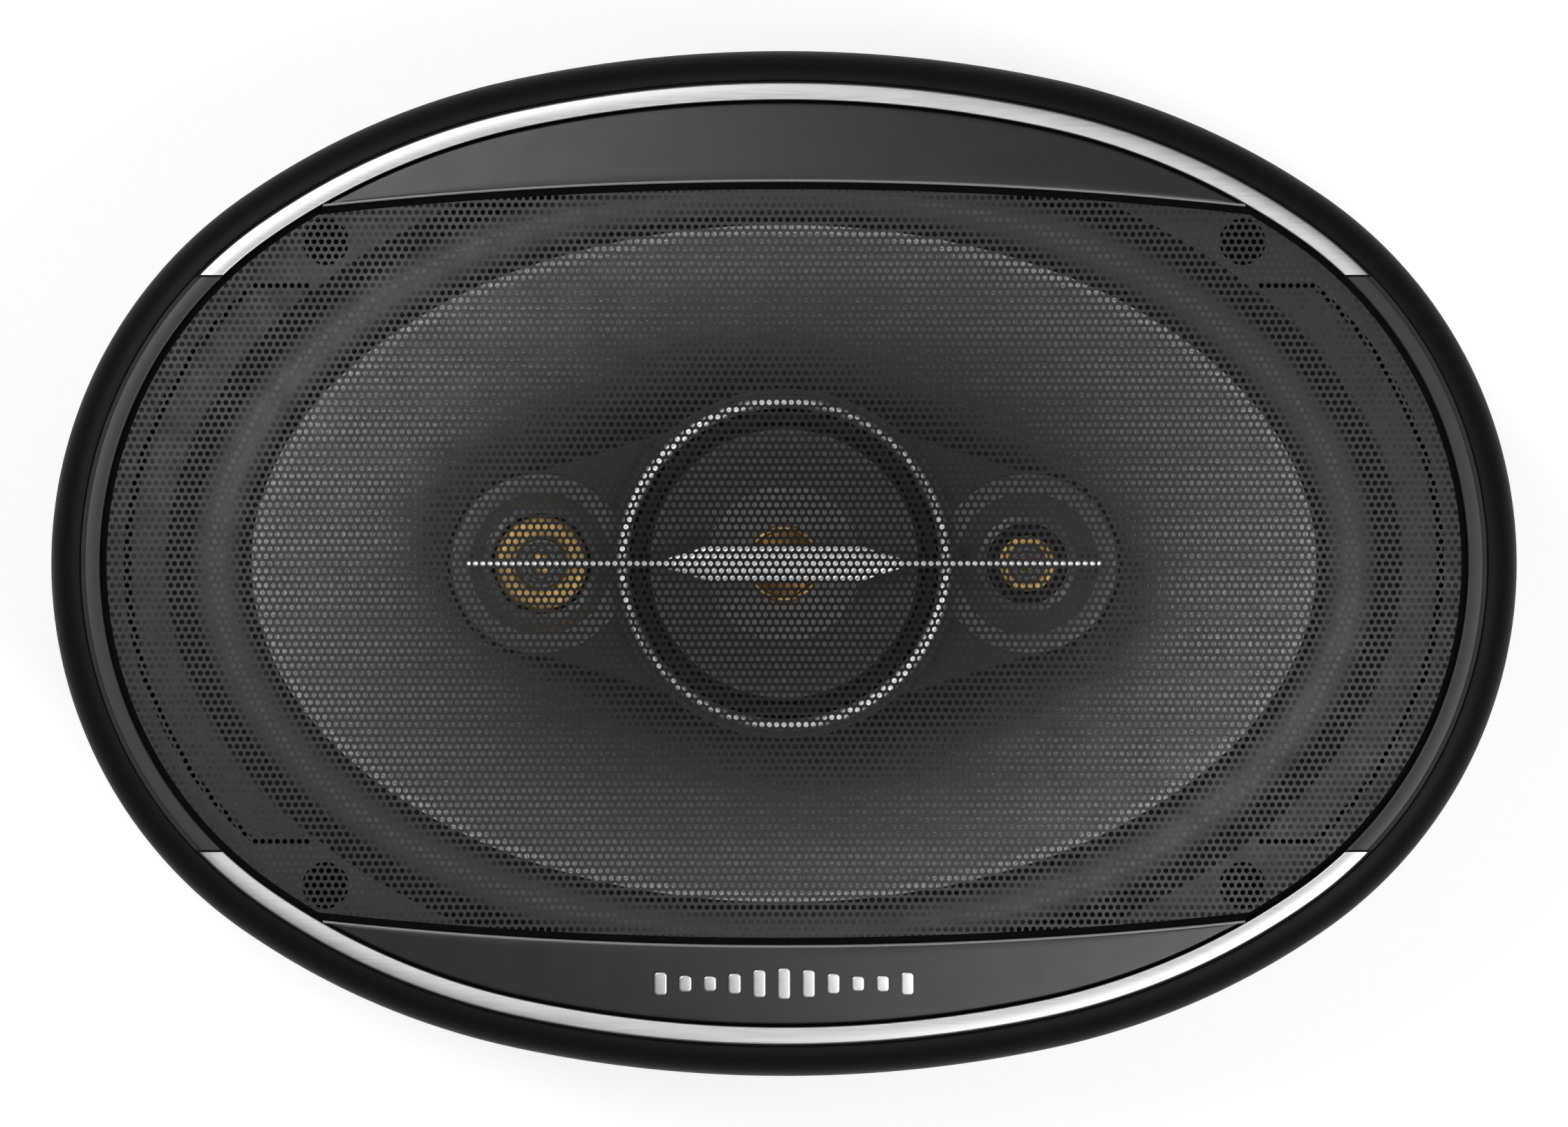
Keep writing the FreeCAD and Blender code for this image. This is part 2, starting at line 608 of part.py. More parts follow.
def magnet():
    c = MAGNET_CHAMFER
    return turned([
        (MAGNET_BORE, BACK_Z), (MAGNET_RADIUS - c, BACK_Z), (MAGNET_RADIUS, BACK_Z + c),
        (MAGNET_RADIUS, MAGNET_Z - c), (MAGNET_RADIUS - c, MAGNET_Z), (MAGNET_BORE, MAGNET_Z),
    ])


def back_plate():
    """Back plate and pole in one piece, bored for the post's bolt."""
    c = PLATE_CHAMFER
    bore = BOLT_RADIUS + PIN_CLEARANCE
    sink = BOTTOM_Z + BOLT_HEAD_HEIGHT + BOLT_SINK_GAP
    head = BOLT_HEAD_RADIUS + BOLT_SINK_GAP
    return turned([
        (head, BOTTOM_Z), (BACK_PLATE_RADIUS - c, BOTTOM_Z), (BACK_PLATE_RADIUS, BOTTOM_Z + c),
        (BACK_PLATE_RADIUS, BACK_Z), (POLE_RADIUS, BACK_Z), (POLE_RADIUS, PLATE_Z),
        (bore, PLATE_Z), (bore, sink), (head, sink),
    ])


def basket_rivets():
    rivets = []
    for x, y in rivet_places():
        rivets.append(turned([
            (0, PLATE_Z - RIVET_DEPTH), (RIVET_RADIUS, PLATE_Z - RIVET_DEPTH), (RIVET_RADIUS, SEAT_Z),
            (RIVET_HEAD_RADIUS, SEAT_Z), (RIVET_HEAD_RADIUS, SEAT_Z + RIVET_HEAD_EDGE),
            crown(RIVET_HEAD_RADIUS, RIVET_HEAD_HEIGHT - RIVET_HEAD_EDGE, SEAT_Z + RIVET_HEAD_EDGE),
        ], x, y))
    return Part.makeCompound(rivets)


# ---------------------------------------------------------------- woofer's moving parts
def cone_level(share):
    """Height of the cone's section at a share of its depth, and how far it has opened from neck to edge."""
    return NECK_Z + (SHEET - NECK_Z) * share, share ** CONE_FLARE


def cone_side(grow):
    """Solid inside one face of the cone, smooth from the round neck to the oval edge."""
    sections = []
    neck = FORMER_OUTER + GLUE + CONE_WALL
    for i in range(CONE_SECTIONS):
        z, opened = cone_level(i / (CONE_SECTIONS - 1))
        a = neck + (CONE_A - neck) * opened + grow
        b = neck + (CONE_B - neck) * opened + grow
        if i == 0:
            sections.append(circle(a, z))
        else:
            sections.append(Part.Wire(Part.Ellipse(Vector(0, 0, z), a, b).toShape()))
    return Part.makeLoft(sections, True, False)


def woofer_cone():
    shell = cone_side(0).cut(cone_side(-CONE_WALL))
    lip = between(ellipse, CONE_LIP, -CONE_WALL, SHEET - CONE_LIP_THICKNESS, SHEET)
    return fuse([shell, lip])


def roll_profile(steps=8):
    """(grow, height) of a half roll, from the cone's side to the frame's side."""
    half = ROLL_WIDTH / 2
    points = []
    for i in range(steps + 1):
        turn = math.pi * i / steps
        points.append((CONE_LIP + half - half * math.cos(turn), SHEET + ROLL_HEIGHT * math.sin(turn)))
    return points


def surround():
    """Half roll with flat lips, from the cone's lip to the flange."""
    t = SURROUND_THICKNESS
    upper = roll_solid(t)
    lower = roll_solid(0)
    roll = upper.cut(lower)
    inner_lip = between(ellipse, CONE_LIP, 0, SHEET, SHEET + t)
    outer_lip = between(ellipse, SURROUND_OUTER, OPENING, SHEET, SHEET + t)
    return fuse([roll, inner_lip, outer_lip])


def roll_solid(lift):
    """Ring under the roll's face, from the flange's front up to the face raised by lift."""
    points = roll_profile()
    middle = len(points) // 2
    outside = [ellipse(grow, z + lift) for grow, z in reversed(points[middle:])]
    inside = [ellipse(grow, z + lift) for grow, z in points[: middle + 1]]
    foot_out, foot_in = points[-1][0], points[0][0]
    outer = Part.makeLoft(outside, True, False)
    inner = Part.makeLoft(inside, True, False)
    ring = outer.cut(inner)
    if lift:
        ring = fuse([ring, between(ellipse, foot_out, foot_in, SHEET, SHEET + lift)])
    return ring


def voice_coil_former():
    return tube(FORMER_OUTER, COIL_RADIUS, coil_bottom(), NECK_Z + FORMER_STAND)


def coil_bottom():
    return PLATE_Z - TOP_PLATE_THICKNESS / 2 - WINDING_LENGTH / 2


def voice_coil_winding():
    low = coil_bottom()
    return tube(WINDING_OUTER, FORMER_OUTER, low, low + WINDING_LENGTH)


def spider():
    """Corrugated disc from the former to the ledge."""
    start = FORMER_OUTER + 2 * GLUE
    first = start + SPIDER_FLAT
    last = STEP_RADIUS - SHEET - SPIDER_CLEARANCE
    step = (last - first) / (2 * SPIDER_WAVES)
    z, t = SPIDER_Z, SPIDER_THICKNESS

    def half_wave(i, lift, backwards=False):
        a, b = first + step * i, first + step * (i + 1)
        side = SPIDER_WAVE_HEIGHT * (1 if i % 2 == 0 else -1)
        middle = ((a + b) / 2, z + lift + side)
        return (middle, (a if backwards else b, z + lift))

    count = 2 * SPIDER_WAVES
    points = [(start, z), (first, z)]
    points += [half_wave(i, 0) for i in range(count)]
    edge = SPIDER_OUTER - SPIDER_EDGE_GAP
    points += [(edge, z), (edge, z + t), (last, z + t)]
    points += [half_wave(i, t, True) for i in reversed(range(count))]
    points += [(start, z + t)]
    return turned(points)


# ---------------------------------------------------------------- bridge, post and midrange
def eye(mid_radius, pod_radius, z):
    """Outline that wraps the midrange's circle and the two tweeters' circles."""
    lean = math.asin((mid_radius - pod_radius) / POD_PITCH)
    s, c = math.sin(lean), math.cos(lean)
    edges = []
    for sy in (1, -1):
        left = Vector(-mid_radius * s, sy * mid_radius * c, z)
        right = Vector(mid_radius * s, sy * mid_radius * c, z)
        edges.append(Part.Arc(left, Vector(0, sy * mid_radius, z), right).toShape())
    for sx in (1, -1):
        x = sx * (POD_PITCH + pod_radius * s)
        up, down = Vector(x, pod_radius * c, z), Vector(x, -pod_radius * c, z)
        tip = Vector(sx * (POD_PITCH + pod_radius), 0, z)
        edges.append(Part.Arc(up, tip, down).toShape())
        for sy, end in ((1, up), (-1, down)):
            start = Vector(sx * mid_radius * s, sy * mid_radius * c, z)
            edges.append(Part.LineSegment(start, end).toShape())
    return Part.Wire(Part.__sortEdges__(edges))


def bridge_housing():
    """Moulded body that carries the midrange and both tweeters over the woofer."""
    arms = prism(eye(BRIDGE_RADIUS - POD_WALL, POD_RADIUS, ARM_BOTTOM), ARM_TOP - ARM_BOTTOM)
    rim = [e for e in arms.Edges if e.BoundBox.ZMin > ARM_TOP - 0.01]
    arms = arms.makeFillet(ARM_ROUND, rim)
    can = MOTOR_CAN_RADIUS
    cup = turned([
        (0, CAN_BOTTOM), (can, CAN_BOTTOM), (can, MID_PLATE_TOP), (BRIDGE_RADIUS, MID_SEAT - BOWL_DEPTH_OUT),
        (BRIDGE_RADIUS, BRIDGE_TOP), (0, BRIDGE_TOP),
    ])
    floor = MID_PLATE_TOP + BRIDGE_FLOOR
    seat_inner = MID_RADIUS + MID_LIP
    hollow = turned([
        (0, floor), (MOTOR_CAN_RADIUS - MOTOR_CAN_WALL, floor), (seat_inner, MID_SEAT - BOWL_DEPTH_IN),
        (seat_inner, MID_SEAT), (TRIM_RING_OUTER + TRIM_GAP, MID_SEAT),
        (TRIM_RING_OUTER + TRIM_GAP, BRIDGE_TOP), (0, BRIDGE_TOP),
    ])
    can_inside = cylinder(can - MOTOR_CAN_WALL, CAN_BOTTOM, MID_PLATE_TOP)
    coil_hole = cylinder(MID_COIL_RADIUS + MID_COIL_HOLE, MID_PLATE_TOP, floor)
    body = fuse([arms, cup]).cut([hollow, can_inside, coil_hole])
    pods = []
    for x in (-POD_PITCH, POD_PITCH):
        pods.append(cylinder(POD_WELL, ARM_BOTTOM + POD_FLOOR, FACEPLATE_Z, x))
        pods.append(cylinder(FACEPLATE_RADIUS + TRIM_GAP, FACEPLATE_Z, ARM_TOP, x))
    holes = []
    bosses = []
    hole_top = CAN_BOTTOM + BRIDGE_SCREW_REACH + SCREW_END_GAP
    inside_can = cylinder(can, CAN_BOTTOM, MID_PLATE_TOP)
    for x, y in bridge_screw_places():
        holes.append(cylinder(BRIDGE_SCREW_RADIUS + PIN_CLEARANCE, CAN_BOTTOM, hole_top, x, y))
        bosses.append(cylinder(BOSS_RADIUS, CAN_BOTTOM, hole_top + BOSS_ROOF, x, y).common(inside_can))
    return fuse([body] + bosses).cut(pods + holes)


def bridge_screw_places():
    step = 360.0 / BRIDGE_SCREW_COUNT
    angles = [math.radians(90 + step * i) for i in range(BRIDGE_SCREW_COUNT)]
    return [(BRIDGE_SCREW_CIRCLE * math.cos(a), BRIDGE_SCREW_CIRCLE * math.sin(a)) for a in angles]


def bridge_screws():
    screws = []
    low = CAN_BOTTOM - POST_FLANGE
    head = low - BRIDGE_SCREW_HEAD_HEIGHT
    tip = CAN_BOTTOM + BRIDGE_SCREW_REACH
    for x, y in bridge_screw_places():
        screws.append(turned([
            (0, head), (BRIDGE_SCREW_HEAD, head), (BRIDGE_SCREW_HEAD, low),
            (BRIDGE_SCREW_RADIUS, low), (BRIDGE_SCREW_RADIUS, tip), (0, tip),
        ], x, y))
    return Part.makeCompound(screws)


def centre_post():
    """Column from the pole up to the bridge, threaded for the bolt."""
    bore = BOLT_RADIUS + PIN_CLEARANCE
    low = CAN_BOTTOM - POST_FLANGE
    end = PLATE_Z + BOLT_GRIP + BOLT_END_GAP
    shape = turned([
        (bore, PLATE_Z), (POST_RADIUS, PLATE_Z), (POST_RADIUS, low - POST_FLARE),
        ((POST_RADIUS + POST_FLARE_BOW, low - POST_FLARE_BOW), (POST_RADIUS + POST_FLARE, low)),
        (MOTOR_CAN_RADIUS, low), (MOTOR_CAN_RADIUS, CAN_BOTTOM), (0, CAN_BOTTOM), (0, end), (bore, end),
    ])
    holes = []
    for x, y in bridge_screw_places():
        holes.append(cylinder(BRIDGE_SCREW_RADIUS + PIN_CLEARANCE, low, CAN_BOTTOM, x, y))
    return shape.cut(holes)


def post_bolt():
    """Hexagon-socket bolt through the pole into the post."""
    sink = BOTTOM_Z + BOLT_HEAD_HEIGHT + BOLT_SINK_GAP
    low = sink - BOLT_HEAD_HEIGHT
    c = BOLT_CHAMFER
    shape = turned([
        (0, low), (BOLT_HEAD_RADIUS - c, low), (BOLT_HEAD_RADIUS, low + c), (BOLT_HEAD_RADIUS, sink),
        (BOLT_RADIUS, sink), (BOLT_RADIUS, PLATE_Z + BOLT_GRIP), (0, PLATE_Z + BOLT_GRIP),
    ])
    across = BOLT_HEAD_RADIUS * BOLT_SOCKET
    corners = [Vector(across * math.cos(a), across * math.sin(a), low)
               for a in (math.radians(60 * i) for i in range(7))]
    socket = Part.Face(Part.makePolygon(corners)).extrude(Vector(0, 0, BOLT_HEAD_HEIGHT * BOLT_SOCKET_DEPTH))
    return shape.cut(socket)


def mid_trim_ring():
    top = MID_SEAT + TRIM_RING_HEIGHT
    half = (TRIM_RING_INNER + TRIM_RING_OUTER) / 2
    r = TRIM_RING_WIDTH / 2
    return turned([
        (TRIM_RING_INNER, MID_SEAT), (TRIM_RING_OUTER, MID_SEAT), (TRIM_RING_OUTER, top - r * 0.5),
        (TRIM_RING_OUTER - r * 0.5, top), (half - r * 0.5, top), (TRIM_RING_INNER, top - r),
    ])


def mid_surround():
    inner, outer = MID_RADIUS, MID_RADIUS + MID_ROLL
    z, t = MID_SEAT, MID_SHEET
    rise = MID_ROLL * 0.5
    half = (inner + outer) / 2
    return turned([
        (inner - MID_LIP, z), (inner, z), ((half, z + rise), (outer, z)),
        (outer + MID_LIP - GLUE, z), (outer + MID_LIP - GLUE, z + t), (outer, z + t),
        ((half, z + rise + t), (inner, z + t)), (inner - MID_LIP, z + t),
    ])


def mid_cone():
    w = MID_CONE_WALL
    n = MID_NECK
    return turned([
        (n, MID_NECK_Z), (n + w, MID_NECK_Z), (MID_RADIUS - MID_LIP, MID_SEAT - w),
        (MID_RADIUS, MID_SEAT - w), (MID_RADIUS, MID_SEAT), (MID_RADIUS - MID_LIP - w, MID_SEAT),
        (n, MID_NECK_Z + MID_NECK_SEAT * w),
    ])


def mid_cap_z():
    """Height at which the dust cap's edge meets the cone's front."""
    share = (MID_CAP_RADIUS - MID_NECK) / (MID_RADIUS - MID_LIP - MID_CONE_WALL - MID_NECK)
    low = MID_NECK_Z + MID_NECK_SEAT * MID_CONE_WALL
    return low + (MID_SEAT - low) * share


def mid_dust_cap():
    foot = mid_cap_z() + MID_CAP_LIFT
    return turned(cap(MID_CAP_RADIUS, MID_CAP_RISE, MID_SHEET, foot, MID_BUTTON_RADIUS))


def mid_button():
    """Gold dome that stands inside the dust cap's inner edge."""
    big = (MID_CAP_RADIUS ** 2 + MID_CAP_RISE ** 2) / (2 * MID_CAP_RISE)
    top = mid_cap_z() + MID_CAP_LIFT + MID_CAP_RISE
    edge = top - big + math.sqrt(big * big - MID_BUTTON_RADIUS ** 2)
    return turned(cap(MID_BUTTON_RADIUS - GLUE, MID_BUTTON_RISE, MID_SHEET, edge))


def mid_coil_bottom():
    return MID_PLATE_TOP - MID_PLATE_THICKNESS / 2 - MID_WINDING_LENGTH / 2


def mid_former():
    outer = MID_COIL_RADIUS + MID_FORMER_WALL
    return tube(outer, MID_COIL_RADIUS, mid_coil_bottom(), MID_NECK_Z + MID_FORMER_STAND)


def mid_winding():
    inner = MID_COIL_RADIUS + MID_FORMER_WALL
    low = mid_coil_bottom()
    return tube(inner + MID_WINDING, inner, low, low + MID_WINDING_LENGTH)


def mid_top_plate():
    inner = MID_COIL_RADIUS + MID_FORMER_WALL + MID_WINDING + MID_GAP
    return tube(MID_PLATE_RADIUS, inner, MID_MAGNET_TOP, MID_PLATE_TOP)


def mid_magnet():
    return tube(MID_MAGNET_RADIUS, MID_COIL_RADIUS + MID_MAGNET_BORE, MID_YOKE_TOP, MID_MAGNET_TOP)


def mid_yoke():
    pole = MID_COIL_RADIUS - MID_GAP
    return turned([
        (0, MID_BOTTOM), (MID_PLATE_RADIUS, MID_BOTTOM), (MID_PLATE_RADIUS, MID_YOKE_TOP),
        (pole, MID_YOKE_TOP), (pole, MID_PLATE_TOP), (0, MID_PLATE_TOP),
    ])


def cross_bar():
    """Thin bar over the three front drivers with a plain lozenge in the middle, on two legs."""
    h, b = BADGE_HALF_HEIGHT, BAR_WIDTH / 2
    taper = BADGE_TIP
    corners = [(-taper, b), (-BADGE_FLAT, h), (BADGE_FLAT, h), (taper, b), (BAR_HALF_LENGTH, b)]
    corners += [(x, -y) for x, y in reversed(corners)]
    corners += [(-BAR_HALF_LENGTH, -b), (-BAR_HALF_LENGTH, b)]
    wire = Part.makePolygon([Vector(x, y, BAR_Z) for x, y in corners + corners[:1]])
    plan = Part.Face(wire).extrude(Vector(0, 0, BAR_THICKNESS))
    legs = []
    low = FACEPLATE_Z + FACEPLATE_HEIGHT
    for sx in (1, -1):
        x = sorted((sx * BAR_HALF_LENGTH, sx * (BAR_HALF_LENGTH - BAR_LEG)))
        legs.append(box(x[0], x[1], -b, b, low, BAR_Z + BAR_THICKNESS))
    return fuse([plan] + legs)


# ---------------------------------------------------------------- tweeters
class Tweeter:
    """One tweeter: its radii by name, and its place on the bridge."""

    def __init__(self, side):
        self.x = POD_PITCH * (-1 if side == "left" else 1)
        self.throat, self.roll_out, self.roll_in, self.ring_out, self.ring_in, self.button = TWEETERS[side]
        self.coil = self.roll_in - TWEETER_COIL_WALL
        self.top = TWEETER_SEAT - TWEETER_PLATE_DROP
        self.magnet_top = self.top - TWEETER_PLATE_THICKNESS
        self.bottom = self.magnet_top - TWEETER_MAGNET_THICKNESS

    def faceplate(self):
        """Waveguide ring: flat outside, then a cone down to the diaphragm."""
        z0, z1, r = FACEPLATE_Z, FACEPLATE_Z + FACEPLATE_HEIGHT, FACEPLATE_ROUND
        return turned([
            (self.throat, z0), (FACEPLATE_RADIUS, z0), (FACEPLATE_RADIUS, z1 - r),
            (FACEPLATE_RADIUS - r, z1), (FACEPLATE_RING, z1), (FACEPLATE_RING - FACEPLATE_STEP, z1 - r),
            (self.throat, z0 + FACEPLATE_THROAT_LIP),
        ], self.x).cut(cylinder(BRIDGE_RADIUS + TRIM_GAP, z0, z1))

    def carrier(self):
        """Ring that the diaphragm's edge is glued to, under the faceplate."""
        outer, inner = POD_WELL - PIN_CLEARANCE, self.roll_out + CARRIER_BORE
        return tube(outer, inner, self.top, FACEPLATE_Z, self.x)

    def surround(self):
        rise = TWEETER_ROLL_BULGE * (self.roll_out - self.roll_in) / 2
        return turned(rolled(self.roll_out, self.roll_in, rise, FILM, TWEETER_SEAT - FILM), self.x)

    def dome(self):
        """Stepped cap on the coil: a raised ring round a hollow for the button."""
        z = TWEETER_SEAT - FILM
        step, crest, slant = z + TWEETER_STEP, z + TWEETER_CREST, TWEETER_CREST_SLANT
        return turned([
            (0, z), (self.roll_in - GLUE, z), (self.roll_in - GLUE, step), (self.ring_out, step),
            (self.ring_out - slant, crest), (self.ring_in + slant, crest), (self.ring_in, step), (0, step),
        ], self.x)

    def gold_button(self):
        z = TWEETER_SEAT - FILM + TWEETER_STEP
        edge = z + BUTTON_EDGE
        return turned([(0, z), (self.button, z), (self.button, edge), crown(self.button, BUTTON_RISE, edge)],
                      self.x)

    def voice_coil(self):
        z = TWEETER_SEAT - FILM
        return tube(self.coil, self.coil - TWEETER_COIL_WALL, z - TWEETER_COIL_LENGTH, z, self.x)

    def plate_radius(self):
        return self.coil - TWEETER_COIL_WALL - TWEETER_GAP

    def top_plate(self):
        return cylinder(self.plate_radius(), self.magnet_top, self.top, self.x)

    def magnet(self):
        return cylinder(self.plate_radius() - TWEETER_MAGNET_STEP, self.bottom, self.magnet_top, self.x)

    def yoke(self):
        """Steel cup round the magnet, open at the top for the coil."""
        inner = self.coil + TWEETER_GAP
        floor = ARM_BOTTOM + POD_FLOOR
        return turned([
            (0, floor), (inner + TWEETER_YOKE_WALL, floor), (inner + TWEETER_YOKE_WALL, self.top),
            (inner, self.top), (inner, self.bottom), (0, self.bottom),
        ], self.x)


def capacitors():
    """Small electrolytics, one glued under each arm of the bridge."""
    cans = []
    z = ARM_BOTTOM - CAPACITOR_RADIUS
    for sx in (-1, 1):
        start = sx * (MOTOR_CAN_RADIUS + CAPACITOR_GAP)
        can = Part.makeCylinder(CAPACITOR_RADIUS, CAPACITOR_LENGTH, Vector(start, 0, z), Vector(sx, 0, 0))
        rims = [e for e in can.Edges if e.Closed and e.BoundBox.XLength < 0.01]
        cans.append(can.makeFillet(CAPACITOR_ROUND, rims))
    return Part.makeCompound(cans)


# ---------------------------------------------------------------- terminals and leads
def block_back():
    """The block's outer face."""
    return -(wall_y(BLOCK_TOP) + BLOCK_DEPTH)


def wall_y(z):
    """Distance from the long axis to the frame's outer wall at the middle of a long side."""
    share = (-RIM_DEPTH - z) / (-RIM_DEPTH - (SPIDER_Z - SHEET))
    top = CONE_B + OPENING + FUNNEL_WALL
    return top + (SPIDER_OUTER + FUNNEL_WALL - top) * share


def terminal_block():
    """Moulded block on the spoke at the -Y side."""
    foot = BLOCK_TOP - BLOCK_HEIGHT
    back = block_back()
    block = box(-BLOCK_HALF_WIDTH, BLOCK_HALF_WIDTH, back, -wall_y(foot), foot, BLOCK_TOP)
    upright = [e for e in block.Edges if e.BoundBox.ZLength > BLOCK_HEIGHT - 0.1]
    corners = [e for e in upright if e.BoundBox.YMin < back + 0.1]
    block = block.makeFillet(BLOCK_ROUND, corners)
    t = BLADE_THICKNESS / 2
    slots = []
    for sx, width in blades():
        x = sx * BLADE_PITCH / 2
        slots.append(box(x - width / 2, x + width / 2, blade_y() - t, blade_y() + t, foot, BLOCK_TOP))
    return block.cut([funnel(FUNNEL_WALL, -RIM_DEPTH, SPIDER_Z - SHEET), block_rivet_hole()] + slots)


def blades():
    return ((1, BLADE_POSITIVE), (-1, BLADE_NEGATIVE))


def blade_y():
    return block_back() + BLADE_FROM_BACK


def block_rivet_hole():
    """Cut for the rivet, right through the block and the spoke."""
    z = BLOCK_TOP - BLOCK_HEIGHT / 2
    reach = HALF_WIDTH - SPIDER_OUTER
    return Part.makeCylinder(RIVET_RADIUS + PIN_CLEARANCE, reach, Vector(0, -HALF_WIDTH, z), Vector(0, 1, 0))


def terminal_rivet():
    """Hollow-headed rivet that holds the block on the spoke."""
    z = BLOCK_TOP - BLOCK_HEIGHT / 2
    outer = block_back()
    inner = -wall_y(z) + BLOCK_RIVET_REACH * FUNNEL_WALL
    shank = Part.makeCylinder(RIVET_RADIUS, inner - outer, Vector(0, outer, z), Vector(0, 1, 0))
    head = Part.makeCylinder(RIVET_HEAD_RADIUS, RIVET_HEAD_HEIGHT, Vector(0, outer - RIVET_HEAD_HEIGHT, z),
                             Vector(0, 1, 0))
    return fuse([shank, head])


def terminal(sx, width):
    """Push-on blade through the block, with a solder lug at its top."""
    x = sx * BLADE_PITCH / 2
    y, t = blade_y(), BLADE_THICKNESS / 2
    foot = BLOCK_TOP - BLOCK_HEIGHT
    blade = box(x - width / 2, x + width / 2, y - t, y + t, foot - BLADE_LENGTH, BLOCK_TOP + LUG_LENGTH)
    across = [e for e in blade.Edges if e.BoundBox.YLength > BLADE_THICKNESS - 0.01]
    tip = [e for e in across if e.BoundBox.ZMax < foot - BLADE_LENGTH / 2]
    blade = blade.makeChamfer(BLADE_TIP, tip)
    hole = Part.makeCylinder(BLADE_HOLE, 4, Vector(x, y - 2, foot - BLADE_LENGTH / 2), Vector(0, 1, 0))
    return blade.cut(hole)


def cone_back(x, y, inwards=0.0):
    """Height of the cone's rear face at a point, or of a face further inwards."""
    neck = FORMER_OUTER + GLUE + CONE_WALL
    low, high = 0.0, 1.0
    for _ in range(40):
        share = (low + high) / 2
        opened = share ** CONE_FLARE
        a = neck + (CONE_A - neck) * opened - inwards
        b = neck + (CONE_B - neck) * opened - inwards
        if (x / a) ** 2 + (y / b) ** 2 > 1:
            low = share
        else:
            high = share
    return cone_level(low)[0]


def lead_end(sx):
    """Where a tinsel lead's eyelet starts behind the cone."""
    x, y = sx * LEAD_JOIN_X, -(FORMER_OUTER + (CONE_B - FORMER_OUTER) * LEAD_JOIN_SHARE)
    return x, y, cone_back(x, y) - LEAD_ENTRY


def tinsel_lead(sx):
    """Braided lead from a terminal's lug, through the window beside the spoke, to the cone."""
    x, y, z = lead_end(sx)
    lug_x, lug_y = sx * BLADE_PITCH / 2, blade_y() + BLADE_THICKNESS / 2 + LEAD_GAP
    lug_z = BLOCK_TOP + LUG_LENGTH * LUG_JOINT
    return along([
        (lug_x, lug_y, lug_z),
        (lug_x, lug_y + 4.5, lug_z),
        (lug_x + sx * 2.8, lug_y + 9.5, lug_z - 2.0),
        (lug_x + sx * 3.4, lug_y + 15.5, lug_z - 6.5),
        (lug_x + sx * 1.4, y - 8.0, z - 4.6),
        (x + sx * 0.4, y - 2.6, z - 4.0),
        (x, y, z - LEAD_RADIUS),
    ], LEAD_RADIUS)


def lead_eyelets():
    """Crimped eyelets that join the tinsel leads to the cone."""
    eyelets = []
    for sx in (1, -1):
        x, y, z = lead_end(sx)
        eyelet = cylinder(EYELET_RADIUS, z, cone_back(x, y) + EYELET_RADIUS, x, y).cut(cone_side(0))
        eyelets.append(eyelet.Solids[0])
    return Part.makeCompound(eyelets)


def feed_leads():
    """Two thin wires from the front of the cone up to the bridge."""
    wires = []
    wall = MOTOR_CAN_RADIUS + LEAD_GAP
    top = CAN_BOTTOM + FEED_RISE
    x, y = wall + 3.6, 2.0
    foot = cone_back(x, y, CONE_WALL) + FEED_RADIUS + LEAD_GAP
    for sx in (1, -1):
        wires.append(along([
            (sx * wall, 0, top), (sx * (wall + 2.4), 0, top - 0.4), (sx * (wall + 4.6), 0.3, top - 3.4),
            (sx * (wall + 5.2), 1.0, top - 8.0), (sx * (wall + 4.9), 1.7, (top + foot) / 2 - 3.6),
            (sx * x, y, foot),
        ], FEED_RADIUS))
    return Part.makeCompound(wires)


# ---------------------------------------------------------------- grille
def dome(z_edge, lift=0.0):
    """Solid under the mesh's shallow dome, raised by lift."""
    a = HALF_LENGTH + BAND_GROW
    b = HALF_WIDTH + BAND_GROW
    big = (a * a + MESH_RISE * MESH_RISE) / (2 * MESH_RISE)
    centre = z_edge + MESH_RISE - big + lift
    far = a + 15.0

    def height(r):
        return centre + math.sqrt(big * big - r * r)

    shape = turned([
        (0, 0), (far, 0), (far, height(far)), ((far / 2, height(far / 2)), (0, height(0))),
    ])
    squeeze = FreeCAD.Matrix()
    squeeze.scale(1, b / a, 1)
    return shape.transformGeometry(squeeze)


def rim_solid():
    """Outside of the grille's frame: an upright wall with a round shoulder."""
    low = GRILLE_LIFT
    shoulder = GRILLE_HEIGHT - RIM_ROUND
    body = prism(oval(GRILLE_OVERHANG, low), shoulder - low)
    parts = [body]
    wires = []
    for i in range(RIM_SECTIONS):
        turn = math.pi / 2 * i / (RIM_SECTIONS - 1)
        grow = GRILLE_OVERHANG - RIM_ROUND * (1 - math.cos(turn))
        wires.append(oval(grow, shoulder + RIM_ROUND * math.sin(turn)))
    for lower, upper in zip(wires, wires[1:]):
        parts.append(Part.makeLoft([lower, upper], True, True))
    return fuse(parts)


